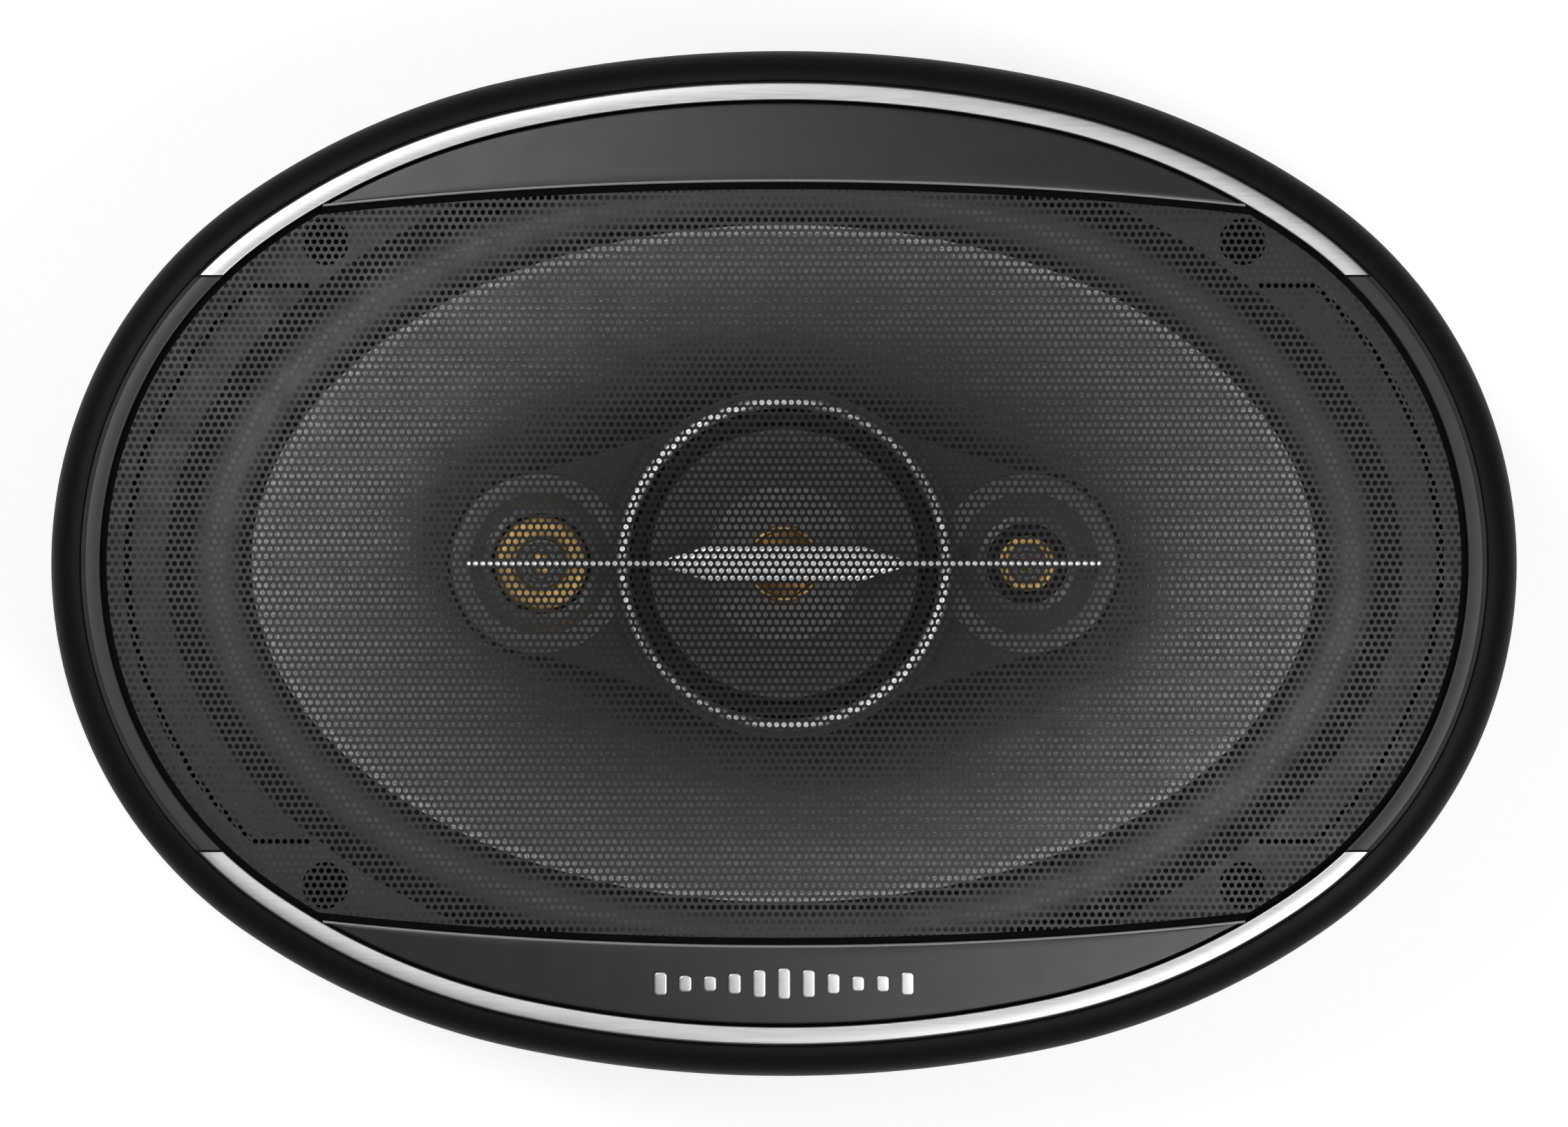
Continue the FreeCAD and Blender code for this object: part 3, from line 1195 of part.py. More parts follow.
def grille_frame():
    """Black outer frame with an inner ledge for the mesh, feet and straight clips."""
    inside = GRILLE_OVERHANG - GRILLE_WALL
    ledge = BAND_GROW - (LEDGE_WIDTH - MESH_OVERLAP) + LEDGE_CUT
    shell = rim_solid()
    cuts = [
        prism(oval(inside, 0), LEDGE_Z),
        prism(oval(RIM_GROW, LEDGE_TOP), 20),
        prism(oval(ledge, LEDGE_Z - 1), 30),
    ]
    shell = shell.cut(cuts)
    foot_ring = between(oval, inside + FOOT_GAP, BAND_GROW, SHEET, LEDGE_Z)
    clip_ring = between(oval, CLIP_CLEARANCE + CLIP_THICKNESS, CLIP_CLEARANCE, SHEET * CLIP_FOOT, LEDGE_Z)
    feet = []
    for x, y in clip_places():
        wide = (FOOT_HALF, 20.0) if y and abs(y) > HALF_WIDTH / 2 else (20.0, FOOT_HALF)
        clip = (CLIP_HALF, 20.0) if y and abs(y) > HALF_WIDTH / 2 else (20.0, CLIP_HALF)
        feet.append(foot_ring.common(box(x - wide[0], x + wide[0], y - wide[1], y + wide[1], 0, 20)))
        feet.append(clip_ring.common(box(x - clip[0], x + clip[0], y - clip[1], y + clip[1], 0, 20)))
    return fuse([shell] + feet)


def clip_places():
    """Four clips along the long sides and four round the ends."""
    places = []
    for sx in (1, -1):
        for sy in (1, -1):
            places.append((sx * CLIP_SIDE_X, sy * HALF_WIDTH))
            places.append((sx * HALF_LENGTH, sy * CLIP_END_Y))
    return places


def panel_region(shrink=0.0):
    """Area beyond the panels' curved edges, above and below the mesh."""
    sag = PANEL_MIDDLE - PANEL_END
    radius = (PANEL_END_X ** 2 + sag ** 2) / (2 * sag)
    regions = []
    for sy in (1, -1):
        disc = cylinder(radius + shrink, 0, 30, 0, sy * (PANEL_MIDDLE - radius))
        half = box(-HALF_LENGTH, HALF_LENGTH, *sorted((sy * PANEL_END * 0.8, sy * (HALF_WIDTH + 20))), 0, 30)
        regions.append(half.cut(disc))
    return regions


def grille_bezel():
    """Dark band and the two panels above and below the mesh."""
    c = BAND_CHAMFER
    outer = RIM_GROW - GRILLE_CLEARANCE
    low = LEDGE_TOP + GRILLE_CLEARANCE
    ring = between(oval, outer, BAND_GROW, low, BAND_TOP - c)
    top = Part.makeLoft([oval(outer, BAND_TOP - c), oval(outer - c, BAND_TOP)], True, True)
    top = top.cut(prism(oval(BAND_GROW, BAND_TOP - c), c))
    band = fuse([ring, top])
    tuck = BAND_GROW + MESH_OVERLAP + GRILLE_CLEARANCE
    band = band.cut(prism(oval(tuck, low), MESH_EDGE + MESH_CEILING - low))
    recess_floor = BAND_TOP - TRIM_DEPTH
    for sy in (1, -1):
        reach = sorted((sy * TRIM_START, sy * (HALF_WIDTH + 20)))
        half = box(-HALF_LENGTH - 10, HALF_LENGTH + 10, reach[0], reach[1], recess_floor, 30)
        band = band.cut(half)
    low_face = dome(MESH_EDGE, GRILLE_CLEARANCE)
    high_face = dome(MESH_EDGE, GRILLE_CLEARANCE + PANEL_THICKNESS)
    inner = prism(oval(BAND_GROW - TRIM_GROOVE, 0), 30)
    edge = prism(oval(BAND_GROW + PANEL_JOINT_OUT, 0), 30)
    panels = []
    for region, chamfered in zip(panel_region(), panel_region(PANEL_CHAMFER)):
        plate_area = region.common(inner)
        skin = plate_area.common(high_face).cut(low_face)
        worn = region.cut(chamfered).common(inner).cut(dome(MESH_EDGE, PANEL_THICKNESS * PANEL_EDGE))
        skin = skin.cut(worn)
        joint = region.common(edge).cut(prism(oval(BAND_GROW - PANEL_JOINT_IN, 0), 30))
        joint = joint.common(dome(MESH_EDGE, GRILLE_CLEARANCE + PANEL_THICKNESS * PANEL_JOINT)).cut(low_face)
        panels += [skin, joint]
    return fuse([band] + panels)


def trim_arc(sy):
    """Brushed silver arc set in the band."""
    outer = RIM_GROW - GRILLE_CLEARANCE - TRIM_GROOVE
    low, high = BAND_TOP - TRIM_DEPTH, BAND_TOP + TRIM_PROUD
    ring = between(oval, outer, BAND_GROW + GLUE, low, high)
    reach = sorted((sy * (TRIM_START + GRILLE_CLEARANCE), sy * (HALF_WIDTH + 20)))
    return ring.common(box(-HALF_LENGTH - 10, HALF_LENGTH + 10, reach[0], reach[1], 0, 30))


def grille_mesh():
    """Shallow domed steel sheet. Its thousands of holes are left out."""
    area = prism(oval(BAND_GROW + MESH_OVERLAP, 5), 20)
    return area.common(dome(MESH_EDGE)).cut(dome(MESH_EDGE, -MESH_THICKNESS))


def mark():
    """Row of plain raised bars on the lower panel, tallest in the middle."""
    bars = []
    centre = -(PANEL_MIDDLE + MARK_FROM_EDGE)
    face = dome(MESH_EDGE, GRILLE_CLEARANCE + PANEL_THICKNESS)
    proud = dome(MESH_EDGE, GRILLE_CLEARANCE + PANEL_THICKNESS + MARK_PROUD)
    middle = (MARK_COUNT - 1) / 2
    for i in range(MARK_COUNT):
        x = (i - middle) * MARK_PITCH
        share = 0.5 + 0.5 * math.cos(math.pi * (i - middle) / middle * MARK_WAVES)
        half = (MARK_SHORT + (MARK_TALL - MARK_SHORT) * share) / 2
        block = box(x - MARK_WIDTH / 2, x + MARK_WIDTH / 2, centre - half, centre + half, 5, 25)
        upright = [e for e in block.Edges if e.BoundBox.ZLength > 10]
        block = block.makeFillet(MARK_WIDTH * MARK_ROUND, upright)
        bars.append(block.common(proud).cut(face))
    return Part.makeCompound([b.Solids[0] for b in bars])


# ---------------------------------------------------------------- all nodes
def nodes():
    parts = {
        "basket": basket, "flange_gasket": flange_gasket, "top_plate": top_plate, "magnet": magnet,
        "back_plate": back_plate, "basket_rivets": basket_rivets, "surround": surround, "spider": spider,
        "woofer_cone": woofer_cone, "voice_coil_former": voice_coil_former,
        "voice_coil_winding": voice_coil_winding, "lead_eyelets": lead_eyelets,
        "bridge_housing": bridge_housing, "bridge_screws": bridge_screws, "centre_post": centre_post,
        "post_bolt": post_bolt, "mid_trim_ring": mid_trim_ring, "mid_surround": mid_surround,
        "mid_cone": mid_cone, "mid_dust_cap": mid_dust_cap, "mid_button": mid_button,
        "mid_former": mid_former, "mid_winding": mid_winding, "mid_top_plate": mid_top_plate,
        "mid_magnet": mid_magnet, "mid_yoke": mid_yoke, "cross_bar": cross_bar, "capacitors": capacitors,
        "terminal_block": terminal_block, "terminal_rivet": terminal_rivet, "feed_leads": feed_leads,
        "grille_frame": grille_frame, "grille_bezel": grille_bezel, "grille_mesh": grille_mesh, "mark": mark,
    }
    for name, sx, width in (("positive", 1, BLADE_POSITIVE), ("negative", -1, BLADE_NEGATIVE)):
        parts["terminal_" + name] = lambda sx=sx, width=width: terminal(sx, width)
        parts["tinsel_lead_" + name] = lambda sx=sx: tinsel_lead(sx)
    for name, sy in (("top", 1), ("bottom", -1)):
        parts["trim_arc_" + name] = lambda sy=sy: trim_arc(sy)
    for side in TWEETERS:
        tweeter = Tweeter(side)
        pieces = {
            "faceplate": tweeter.faceplate, "carrier": tweeter.carrier, "surround": tweeter.surround,
            "dome": tweeter.dome, "button": tweeter.gold_button, "coil": tweeter.voice_coil,
            "top_plate": tweeter.top_plate, "magnet": tweeter.magnet, "yoke": tweeter.yoke,
        }
        for piece, make in pieces.items():
            parts["tweeter_" + side + "_" + piece] = make
    return parts


def main():
    os.makedirs("parts", exist_ok=True)
    for name, make in nodes().items():
        shape = make()
        solids = shape.Solids
        good = shape.isValid() and solids and min(s.Volume for s in solids) > 0
        volume = round(sum(solid.Volume for solid in solids), 1)
        print(name, len(solids), "solids", volume, "mm3", "" if good else "BAD")
        shape = solids[0] if len(solids) == 1 else Part.makeCompound(solids)
        shape.exportStep("parts/" + name + ".step")
    print("mounting holes", [round(v, 3) for v in hole_centre()], "rear face z 0, bottom z", BOTTOM_Z)


if __name__ == "__main__":
    main()
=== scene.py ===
import json
import math

import bmesh
import bpy
import numpy as np
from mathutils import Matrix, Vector


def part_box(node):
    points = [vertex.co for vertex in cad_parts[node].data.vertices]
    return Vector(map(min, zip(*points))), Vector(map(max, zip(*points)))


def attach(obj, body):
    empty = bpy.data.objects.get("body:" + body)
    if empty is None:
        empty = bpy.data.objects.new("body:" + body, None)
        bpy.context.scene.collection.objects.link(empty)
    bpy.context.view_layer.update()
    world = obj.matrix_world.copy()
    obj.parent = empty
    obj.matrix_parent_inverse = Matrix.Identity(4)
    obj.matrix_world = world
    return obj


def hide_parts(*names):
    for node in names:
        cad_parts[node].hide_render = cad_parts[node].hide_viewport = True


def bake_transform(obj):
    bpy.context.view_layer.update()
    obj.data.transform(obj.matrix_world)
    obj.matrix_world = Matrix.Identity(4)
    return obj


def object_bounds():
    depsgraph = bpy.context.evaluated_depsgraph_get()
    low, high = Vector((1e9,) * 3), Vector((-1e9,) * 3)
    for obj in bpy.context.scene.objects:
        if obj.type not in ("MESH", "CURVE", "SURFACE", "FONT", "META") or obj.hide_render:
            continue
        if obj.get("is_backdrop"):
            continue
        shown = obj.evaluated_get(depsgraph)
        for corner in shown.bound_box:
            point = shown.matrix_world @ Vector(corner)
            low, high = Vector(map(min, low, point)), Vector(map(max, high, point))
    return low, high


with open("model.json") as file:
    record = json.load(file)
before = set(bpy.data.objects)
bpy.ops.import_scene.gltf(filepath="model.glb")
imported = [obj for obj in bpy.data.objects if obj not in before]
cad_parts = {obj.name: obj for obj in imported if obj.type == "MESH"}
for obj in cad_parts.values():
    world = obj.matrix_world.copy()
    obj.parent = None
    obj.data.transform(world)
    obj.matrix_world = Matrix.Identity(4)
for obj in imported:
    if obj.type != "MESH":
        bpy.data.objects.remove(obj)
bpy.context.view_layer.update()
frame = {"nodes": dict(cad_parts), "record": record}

MM = 0.001
TURN = 2 * math.pi
# sign along Y or X and the word for it
SIDES = ((1, "top"), (-1, "bottom"))
ENDS = ((1, "right"), (-1, "left"))


# ---------------------------------------------------------------- places read from the frame
def low(node):
    """Lowest corner of a CAD node, in millimetres."""
    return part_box(node)[0] / MM


def high(node):
    """Highest corner of a CAD node, in millimetres."""
    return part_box(node)[1] / MM


def half(node, axis):
    return (high(node)[axis] - low(node)[axis]) / 2


def middle(node, axis):
    return (high(node)[axis] + low(node)[axis]) / 2


# Sizes here are in millimetres, and points become metres where a mesh is made.
GRILLE_A = half("grille_frame", 0)
GRILLE_B = half("grille_frame", 1)
SKIRT_Z = low("grille_frame").z
RIM_Z = high("grille_frame").z
LEDGE_TOP_Z = low("grille_bezel").z - 0.1
LEDGE_Z = LEDGE_TOP_Z - 1.0
BAND_Z = high("trim_arc_top").z - 0.3
FLANGE_Z = high("basket").z
LIP_Z = high("woofer_cone").z
CONE_EDGE = (high("woofer_cone").x - 2.0, high("woofer_cone").y - 2.0)

SIDE_ANGLE, END_ANGLE, ARC_BLEND = 12.0, 35.0, 0.355  # the outline's arcs, from the short axis
RIM_WIDTH = 5.2
RIM_ROUND = 5.0
WALL = 2.2
BAND_WIDTH = 3.4
BAND_INNER = RIM_WIDTH + BAND_WIDTH  # all distances inwards from the grille's edge
BAND_CHAMFER = 0.8
LEDGE_INNER = 9.2
TRIM_START = low("trim_arc_top").y
TRIM_GROOVE = 0.35
SHEET_A = half("grille_mesh", 0) - 1.4
SHEET_B = half("grille_mesh", 1) - 1.4
SHEET_TOP = high("grille_mesh").z
SHEET_RISE = 3.5
SHEET_THICK = 0.35
PANEL_MIDDLE, PANEL_END, PANEL_END_X = 64.9, 60.6, 79.5
PANEL_THICK = 1.2
BAND_LIP, PANEL_LIP = 1.05, 1.2
BEAD_RADIUS, BEAD_SUNK = 0.26, 0.16
PANEL_GAP = 0.1
PANEL_ROLL, PANEL_LIFT = 0.7, 0.35

HOLE_PITCH, HOLE_ROW, HOLE_RADIUS = 1.25, 1.245, 0.445
HOLE_SIDES = 12
MARK_COUNT, MARK_WIDTH, MARK_SHORT = 11, 2.2, 2.6
SHEET_STRIPS = 7

FLOOR_RADIUS = 12000.0
FLOOR_GLOW = 0.35
SHADOW_SHARES = (0.70, 1.0)  # where the floor's painted shadow starts to fade and ends, in half sizes
SKY_TOP, SKY_EDGE = 0.12, 0.45
# name, degrees from straight up, direction, metres away, size, brightness
SOFT_BOXES = (
    ("low_right", 25.0, -38.0, 0.9, 0.42, 0.54),
    ("up_left", 25.0, 142.0, 0.9, 0.42, 0.53),
    ("overhead", 3.0, 90.0, 1.9, 0.8, 0.035),
)


# ---------------------------------------------------------------- outlines
def oval_arcs():
    """(centre x, centre y, radius) of the end, middle and side arcs in the +X +Y quarter."""
    s_end, c_end = math.sin(math.radians(END_ANGLE)), math.cos(math.radians(END_ANGLE))
    s_side, c_side = math.sin(math.radians(SIDE_ANGLE)), math.cos(math.radians(SIDE_ANGLE))
    x_side = s_side + (s_end - s_side) * ARC_BLEND
    x_end = 1 - s_end + (s_end - s_side) * (1 - ARC_BLEND)
    y_side = 1 - c_side + (c_side - c_end) * ARC_BLEND
    y_end = c_end + (c_side - c_end) * (1 - ARC_BLEND)
    scale = x_side * y_end - x_end * y_side
    # the arcs are set on the frame's edge, and the grille's edge is the same outline grown
    grow = GRILLE_A - half("basket", 0)
    a, b = GRILLE_A - grow, GRILLE_B - grow
    side = (y_end * a - x_end * b) / scale
    end = (x_side * b - y_side * a) / scale
    mid = end + (side - end) * ARC_BLEND
    end_x = a - end
    return (
        (end_x, 0.0, end + grow),
        (end_x - (mid - end) * s_end, -(mid - end) * c_end, mid + grow),
        (0.0, b - side, side + grow),
    )


ARCS = oval_arcs()


def oval(angle, inset):
    """Points of the grille's outline, moved inwards, whose outward direction is at angle from +X."""
    angle = np.asarray(angle, float)
    c, s = np.cos(angle), np.sin(angle)
    from_short = np.degrees(np.arctan2(np.abs(c), np.abs(s)))
    pick = np.where(from_short < SIDE_ANGLE, 2, np.where(from_short < END_ANGLE, 1, 0))
    cx, cy, r = (np.array([arc[i] for arc in ARCS])[pick] for i in range(3))
    x = np.sign(c) * cx + (r - inset) * c
    y = np.sign(s) * cy + (r - inset) * s
    return x, y


def even_angles(count):
    """Directions of points evenly spaced once round the outline."""
    fine = np.linspace(0, TURN, 8000)
    x, y = oval(fine, 0)
    run = np.concatenate([[0], np.cumsum(np.hypot(np.diff(x), np.diff(y)))])
    return np.interp(np.linspace(0, run[-1], count, endpoint=False), run, fine)


def angle_where(place, inset, axis=1):
    """Direction, in the first quarter, at which the moved outline reaches a y, or an x if axis is 0."""
    a, b = 0.0, math.pi / 2
    for _ in range(50):
        m = (a + b) / 2
        falls_short = oval(m, inset)[axis] < place
        a, b = (m, b) if falls_short == (axis == 1) else (a, m)
    return a


def dome_z(x, y, lift=0.0):
    """Height of the sheet's front face."""
    big = (SHEET_A ** 2 + SHEET_RISE ** 2) / (2 * SHEET_RISE)
    reach = np.hypot(x, np.asarray(y) * SHEET_A / SHEET_B)
    return SHEET_TOP - big + np.sqrt(big ** 2 - reach ** 2) + lift


def rounded(corners, steps=5):
    """Closed outline with round corners, from (x, y, radius) going round."""
    points = []
    count = len(corners)
    for i in range(count):
        here = np.array(corners[i][:2], float)
        radius = corners[i][2]
        back = np.array(corners[i - 1][:2], float) - here
        ahead = np.array(corners[(i + 1) % count][:2], float) - here
        if radius <= 0:
            points.append(here)
            continue
        back /= np.linalg.norm(back)
        ahead /= np.linalg.norm(ahead)
        opening = math.acos(max(-1.0, min(1.0, float(back @ ahead))))
        setback = radius / math.tan(opening / 2)
        bisector = back + ahead
        centre = here + bisector / np.linalg.norm(bisector) * radius / math.sin(opening / 2)
        first, last = here + back * setback - centre, here + ahead * setback - centre
        start, end = math.atan2(first[1], first[0]), math.atan2(last[1], last[0])
        sweep = (end - start + math.pi) % TURN - math.pi
        for k in range(steps + 1):
            t = start + sweep * k / steps
            points.append(centre + radius * np.array([math.cos(t), math.sin(t)]))
    return np.array(points)


def at_height(x, y, z):
    """Points of a line drawn in plan, all at one height."""
    return np.stack([x, y, np.full(len(x), z)], axis=1)


# ---------------------------------------------------------------- meshes
def add_object(mesh, sharp):
    """Object in the scene from a mesh, shaded smooth up to an angle in degrees."""
    mesh.shade_smooth()
    mesh.set_sharp_from_angle(angle=math.radians(sharp))
    thing = bpy.data.objects.new(mesh.name, mesh)
    bpy.context.scene.collection.objects.link(thing)
    return thing


def mesh_object(name, points, faces, sharp=35.0):
    """Object from points in millimetres and faces of equal length."""
    mesh = bpy.data.meshes.new(name)
    places = np.asarray(points, float).reshape(-1, 3) * MM
    mesh.from_pydata(places.tolist(), [], np.asarray(faces).tolist())
    mesh.validate()
    tidy = bmesh.new()
    tidy.from_mesh(mesh)
    bmesh.ops.remove_doubles(tidy, verts=tidy.verts, dist=1e-7)
    bmesh.ops.dissolve_degenerate(tidy, edges=tidy.edges, dist=1e-7)
    bmesh.ops.recalc_face_normals(tidy, faces=tidy.faces)
    tidy.to_mesh(mesh)
    tidy.free()
    return add_object(mesh, sharp)


def grid_faces(rows, columns, wrap_rows, wrap_columns):
    i = np.arange(rows if wrap_rows else rows - 1)[:, None]
    j = np.arange(columns if wrap_columns else columns - 1)[None, :]
    i2, j2 = (i + 1) % rows, (j + 1) % columns
    corners = [i * columns + j, i * columns + j2, i2 * columns + j2, i2 * columns + j]
    return np.stack([c.ravel() for c in corners], axis=1)


def ring_object(name, points, sharp=35.0):
    """Closed ring from a (profile, path, 3) array of points."""
    points = np.array(points)
    rows, columns = points.shape[:2]
    return mesh_object(name, points, grid_faces(rows, columns, True, True), sharp)


def bar_object(name, points, sharp=35.0):
    """Solid from closed profiles along an open path, with its ends filled."""
    points = np.array(points)
    rows, columns = points.shape[:2]
    faces = grid_faces(rows, columns, True, False).tolist()
    faces.append([i * columns for i in range(rows)])
    faces.append([i * columns + columns - 1 for i in reversed(range(rows))])
    mesh = bpy.data.meshes.new(name)
    mesh.from_pydata((points.reshape(-1, 3) * MM).tolist(), [], faces)
    tidy = bmesh.new()
    tidy.from_mesh(mesh)
    bmesh.ops.triangulate(tidy, faces=[f for f in tidy.faces if len(f.verts) > 4])
    bmesh.ops.recalc_face_normals(tidy, faces=tidy.faces)
    tidy.to_mesh(mesh)
    tidy.free()
    return add_object(mesh, sharp)


def swept_ring(name, profile, count=720):
    """Profile of (inset, height) points taken round the whole outline."""
    angles = even_angles(count)
    rows = []
    for inset, z in profile:
        x, y = oval(angles, inset)
        rows.append(at_height(x, y, z))
    return ring_object(name, rows)


def swept_arc(name, profile, start_y, side, count=240):
    """Profile taken along the outline beyond a height on one side, its ends cut level with it."""
    share = np.linspace(0, 1, count)
    rows = []
    for inset, z in profile:
        first = angle_where(start_y, inset)
        angles = first + (math.pi - 2 * first) * share
        x, y = oval(angles, inset)
        rows.append(at_height(x, side * y, z))
    return bar_object(name, rows)


def swept_end(name, profile, stop_y, side, count=160):
    """Profile taken round one end between two heights."""
    share = np.linspace(-1, 1, count)
    rows = []
    for inset, z in profile:
        x, y = oval(angle_where(stop_y, inset) * share, inset)
        rows.append(at_height(side * x, y, z))
    return bar_object(name, rows)


def lathe(name, profile, x=0.0, y=0.0, count=128, closed=True):
    """Profile of (radius, height) points turned about an upright axis."""
    angles = np.linspace(0, TURN, count, endpoint=False)
    rows = [at_height(x + r * np.cos(angles), y + r * np.sin(angles), z) for r, z in profile]
    return mesh_object(name, rows, grid_faces(len(rows), count, closed, True))


def stretched_lathe(name, profile, neck, edge, count=360):
    """Profile of (share, offset, height) points between a round neck and an oval edge."""
    angles = np.linspace(0, TURN, count, endpoint=False)
    rows = []
    for share, offset, z in profile:
        a = neck + (edge[0] - neck) * share + offset
        b = neck + (edge[1] - neck) * share + offset
        rows.append(at_height(a * np.cos(angles), b * np.sin(angles), z))
    return ring_object(name, rows, 50.0)


def tube(name, route, radius, sides):
    """Round wire along a smooth line through points, with flat ends."""
    route = np.asarray(route, float)
    tangent = np.gradient(route, axis=0)
    tangent /= np.linalg.norm(tangent, axis=1)[:, None]
    across = np.cross(tangent, [0.0, 0.0, 1.0])
    lengths = np.linalg.norm(across, axis=1)
    across = np.where(lengths[:, None] > 0.05, across / np.maximum(lengths, 1e-6)[:, None], [1.0, 0.0, 0.0])
    up = np.cross(across, tangent)
    rows = []
    for k in range(sides):
        t = TURN * k / sides
        rows.append(route + across * math.cos(t) * radius + up * math.sin(t) * radius)
    return bar_object(name, rows)


def smooth_route(corners, per_run=12):
    """Points along a cubic line through given corners."""
    corners = np.asarray(corners, float)
    padded = np.vstack([2 * corners[0] - corners[1], corners, 2 * corners[-1] - corners[-2]])
    out = []
    for i in range(1, len(padded) - 2):
        a, b, c, d = padded[i - 1 : i + 3]
        for t in np.linspace(0, 1, per_run, endpoint=False):
            out.append(0.5 * (2 * b + (c - a) * t + (2 * a - 5 * b + 4 * c - d) * t ** 2
                              + (3 * b - a - 3 * c + d) * t ** 3))
    out.append(corners[-1])
    return np.array(out)


# ---------------------------------------------------------------- materials
class Look:
    """A material, with short ways to add patterns to its nodes."""

    def __init__(self, name, colour, roughness, metallic=0.0, specular=0.5):
        self.material = bpy.data.materials.new(name)
        self.material.use_nodes = True
        self.nodes = self.material.node_tree.nodes
        self.links = self.material.node_tree.links
        self.shader = self.nodes["Principled BSDF"]
        self.colour = colour
        self.set("Base Color", (*colour, 1.0))
        self.set("Roughness", roughness)
        self.set("Metallic", metallic)
        self.set("Specular IOR Level", specular)
        self.place = self.nodes.new("ShaderNodeTexCoord").outputs["Object"]

    def set(self, socket, value):
        self.shader.inputs[socket].default_value = value
        return self

    def node(self, kind, links=(), **values):
        made = self.nodes.new(kind)
        for key, value in values.items():
            if hasattr(made, key):
                setattr(made, key, value)
        for socket, source in dict(links).items():
            if isinstance(source, bpy.types.NodeSocket):
                self.links.new(source, made.inputs[socket])
            else:
                made.inputs[socket].default_value = source
        return made

    def noise(self, size, stretch=(1, 1, 1), detail=3.0):
        """Noise whose features are about size millimetres, longer along the axes with a big stretch."""
        scale = tuple(1 / s for s in stretch)
        mapped = self.node("ShaderNodeMapping", {"Vector": self.place, "Scale": scale})
        made = self.node("ShaderNodeTexNoise", {"Vector": mapped.outputs[0], "Scale": 1 / (size * MM),
                                                "Detail": detail})
        return made.outputs["Fac"]

    def along(self, axis):
        """Place along one axis, in metres."""
        return self.node("ShaderNodeSeparateXYZ", {"Vector": self.place}).outputs[axis]

    def reach(self, a, b):
        """Distance from the upright axis, 1 on the ellipse of half sizes a and b millimetres."""
        x = self.math("DIVIDE", self.along("X"), a * MM)
        y = self.math("DIVIDE", self.along("Y"), b * MM)
        return self.math("SQRT", self.math("ADD", self.math("MULTIPLY", x, x), self.math("MULTIPLY", y, y)))

    def cells(self, size):
        made = self.node("ShaderNodeTexVoronoi", {"Vector": self.place, "Scale": 1 / (size * MM)})
        return made.outputs["Distance"]

    def math(self, operation, a, b=0.0):
        return self.node("ShaderNodeMath", {0: a, 1: b}, operation=operation).outputs[0]

    def spread(self, pattern, start, stop, to_start=0.0, to_stop=1.0):
        """Pattern between start and stop, stretched to a new range."""
        made = self.node("ShaderNodeMapRange", {"Value": pattern, "From Min": start, "From Max": stop,
                                                "To Min": to_start, "To Max": to_stop})
        return made.outputs["Result"]

    def tint(self, pattern, dark, light):
        """Base colour from dark to light as the pattern goes from 0 to 1."""
        mix = self.node("ShaderNodeMix", data_type="RGBA")
        self.links.new(pattern, mix.inputs["Factor"])
        mix.inputs[6].default_value = (*dark, 1.0)
        mix.inputs[7].default_value = (*light, 1.0)
        self.links.new(mix.outputs[2], self.shader.inputs["Base Color"])
        return self

    def shade(self, pattern, amount):
        """Base colour varied by a share either way."""
        dark = tuple(c * (1 - amount) for c in self.colour)
        light = tuple(min(1.0, c * (1 + amount)) for c in self.colour)
        return self.tint(self.spread(pattern, 0.3, 0.7), dark, light)

    def polish(self, pattern, low_end, high_end):
        """Roughness between two values."""
        self.links.new(self.spread(pattern, 0.3, 0.7, low_end, high_end), self.shader.inputs["Roughness"])
        return self

    def relief(self, pattern, depth):
        """Bump of a depth in millimetres, on top of any bump already there."""
        made = self.node("ShaderNodeBump", {"Height": pattern, "Distance": depth * MM, "Strength": 1.0})
        before = self.shader.inputs["Normal"].links
        if before:
            self.links.new(before[0].from_socket, made.inputs["Normal"])
        self.links.new(made.outputs[0], self.shader.inputs["Normal"])
        return self


def grained(look, shade, polish, *reliefs):
    """Noise on a look, each given its size and detail, then its amount, two roughnesses, or depths."""
    look.shade(look.noise(shade[0], detail=shade[1]), shade[2])
    look.polish(look.noise(polish[0], detail=polish[1]), polish[2], polish[3])
    for size, detail, depth in reliefs:
        look.relief(look.noise(size, detail=detail), depth)
    return look.material


def moulded(name, colour, roughness, specular=0.5, grain=0.35, depth=0.012):
    """Injection-moulded plastic with a fine eroded grain and slight wear of its gloss."""
    look = Look(name, colour, roughness, specular=specular)
    return grained(look, (14, 4, 0.06), (5, 5, roughness - 0.02, roughness + 0.02), (grain, 4, depth))


def painted_sheet(name, colour, roughness, specular=0.5, middle_shade=None):
    """Powder-coated steel: faint orange peel and uneven gloss.

    A middle shade of (x half size, y half size, share) is painted shade: it darkens colour and specular
    level towards the middle, down to that share."""
    look = Look(name, colour, roughness, specular=specular)
    if middle_shade:
        # painted shade: colour and specular level fall off towards the middle
        middle_shade_ramp = look.spread(look.reach(middle_shade[0], middle_shade[1]), 0.30, 0.90, middle_shade[2], 1.0)
        look.tint(middle_shade_ramp, (0.0, 0.0, 0.0), colour)
        look.links.new(look.math("MULTIPLY", middle_shade_ramp, specular), look.shader.inputs["Specular IOR Level"])
    else:
        look.shade(look.noise(25, detail=3), 0.12)
    look.polish(look.noise(6, detail=4), roughness - 0.07, roughness + 0.07)
    look.relief(look.noise(1.1, detail=2), 0.02)
    return look.material


def brushed(name, colour, roughness, along=(60, 1, 1), lines=0.13, depth=0.0015, contrast=0.07):
    """Metal with fine lines along X."""
    look = Look(name, colour, roughness, metallic=1.0)
    grain = look.noise(lines, stretch=along, detail=5)
    look.shade(grain, contrast)
    look.polish(grain, roughness - 0.05, roughness + 0.05)
    look.relief(grain, depth)
    return look.material


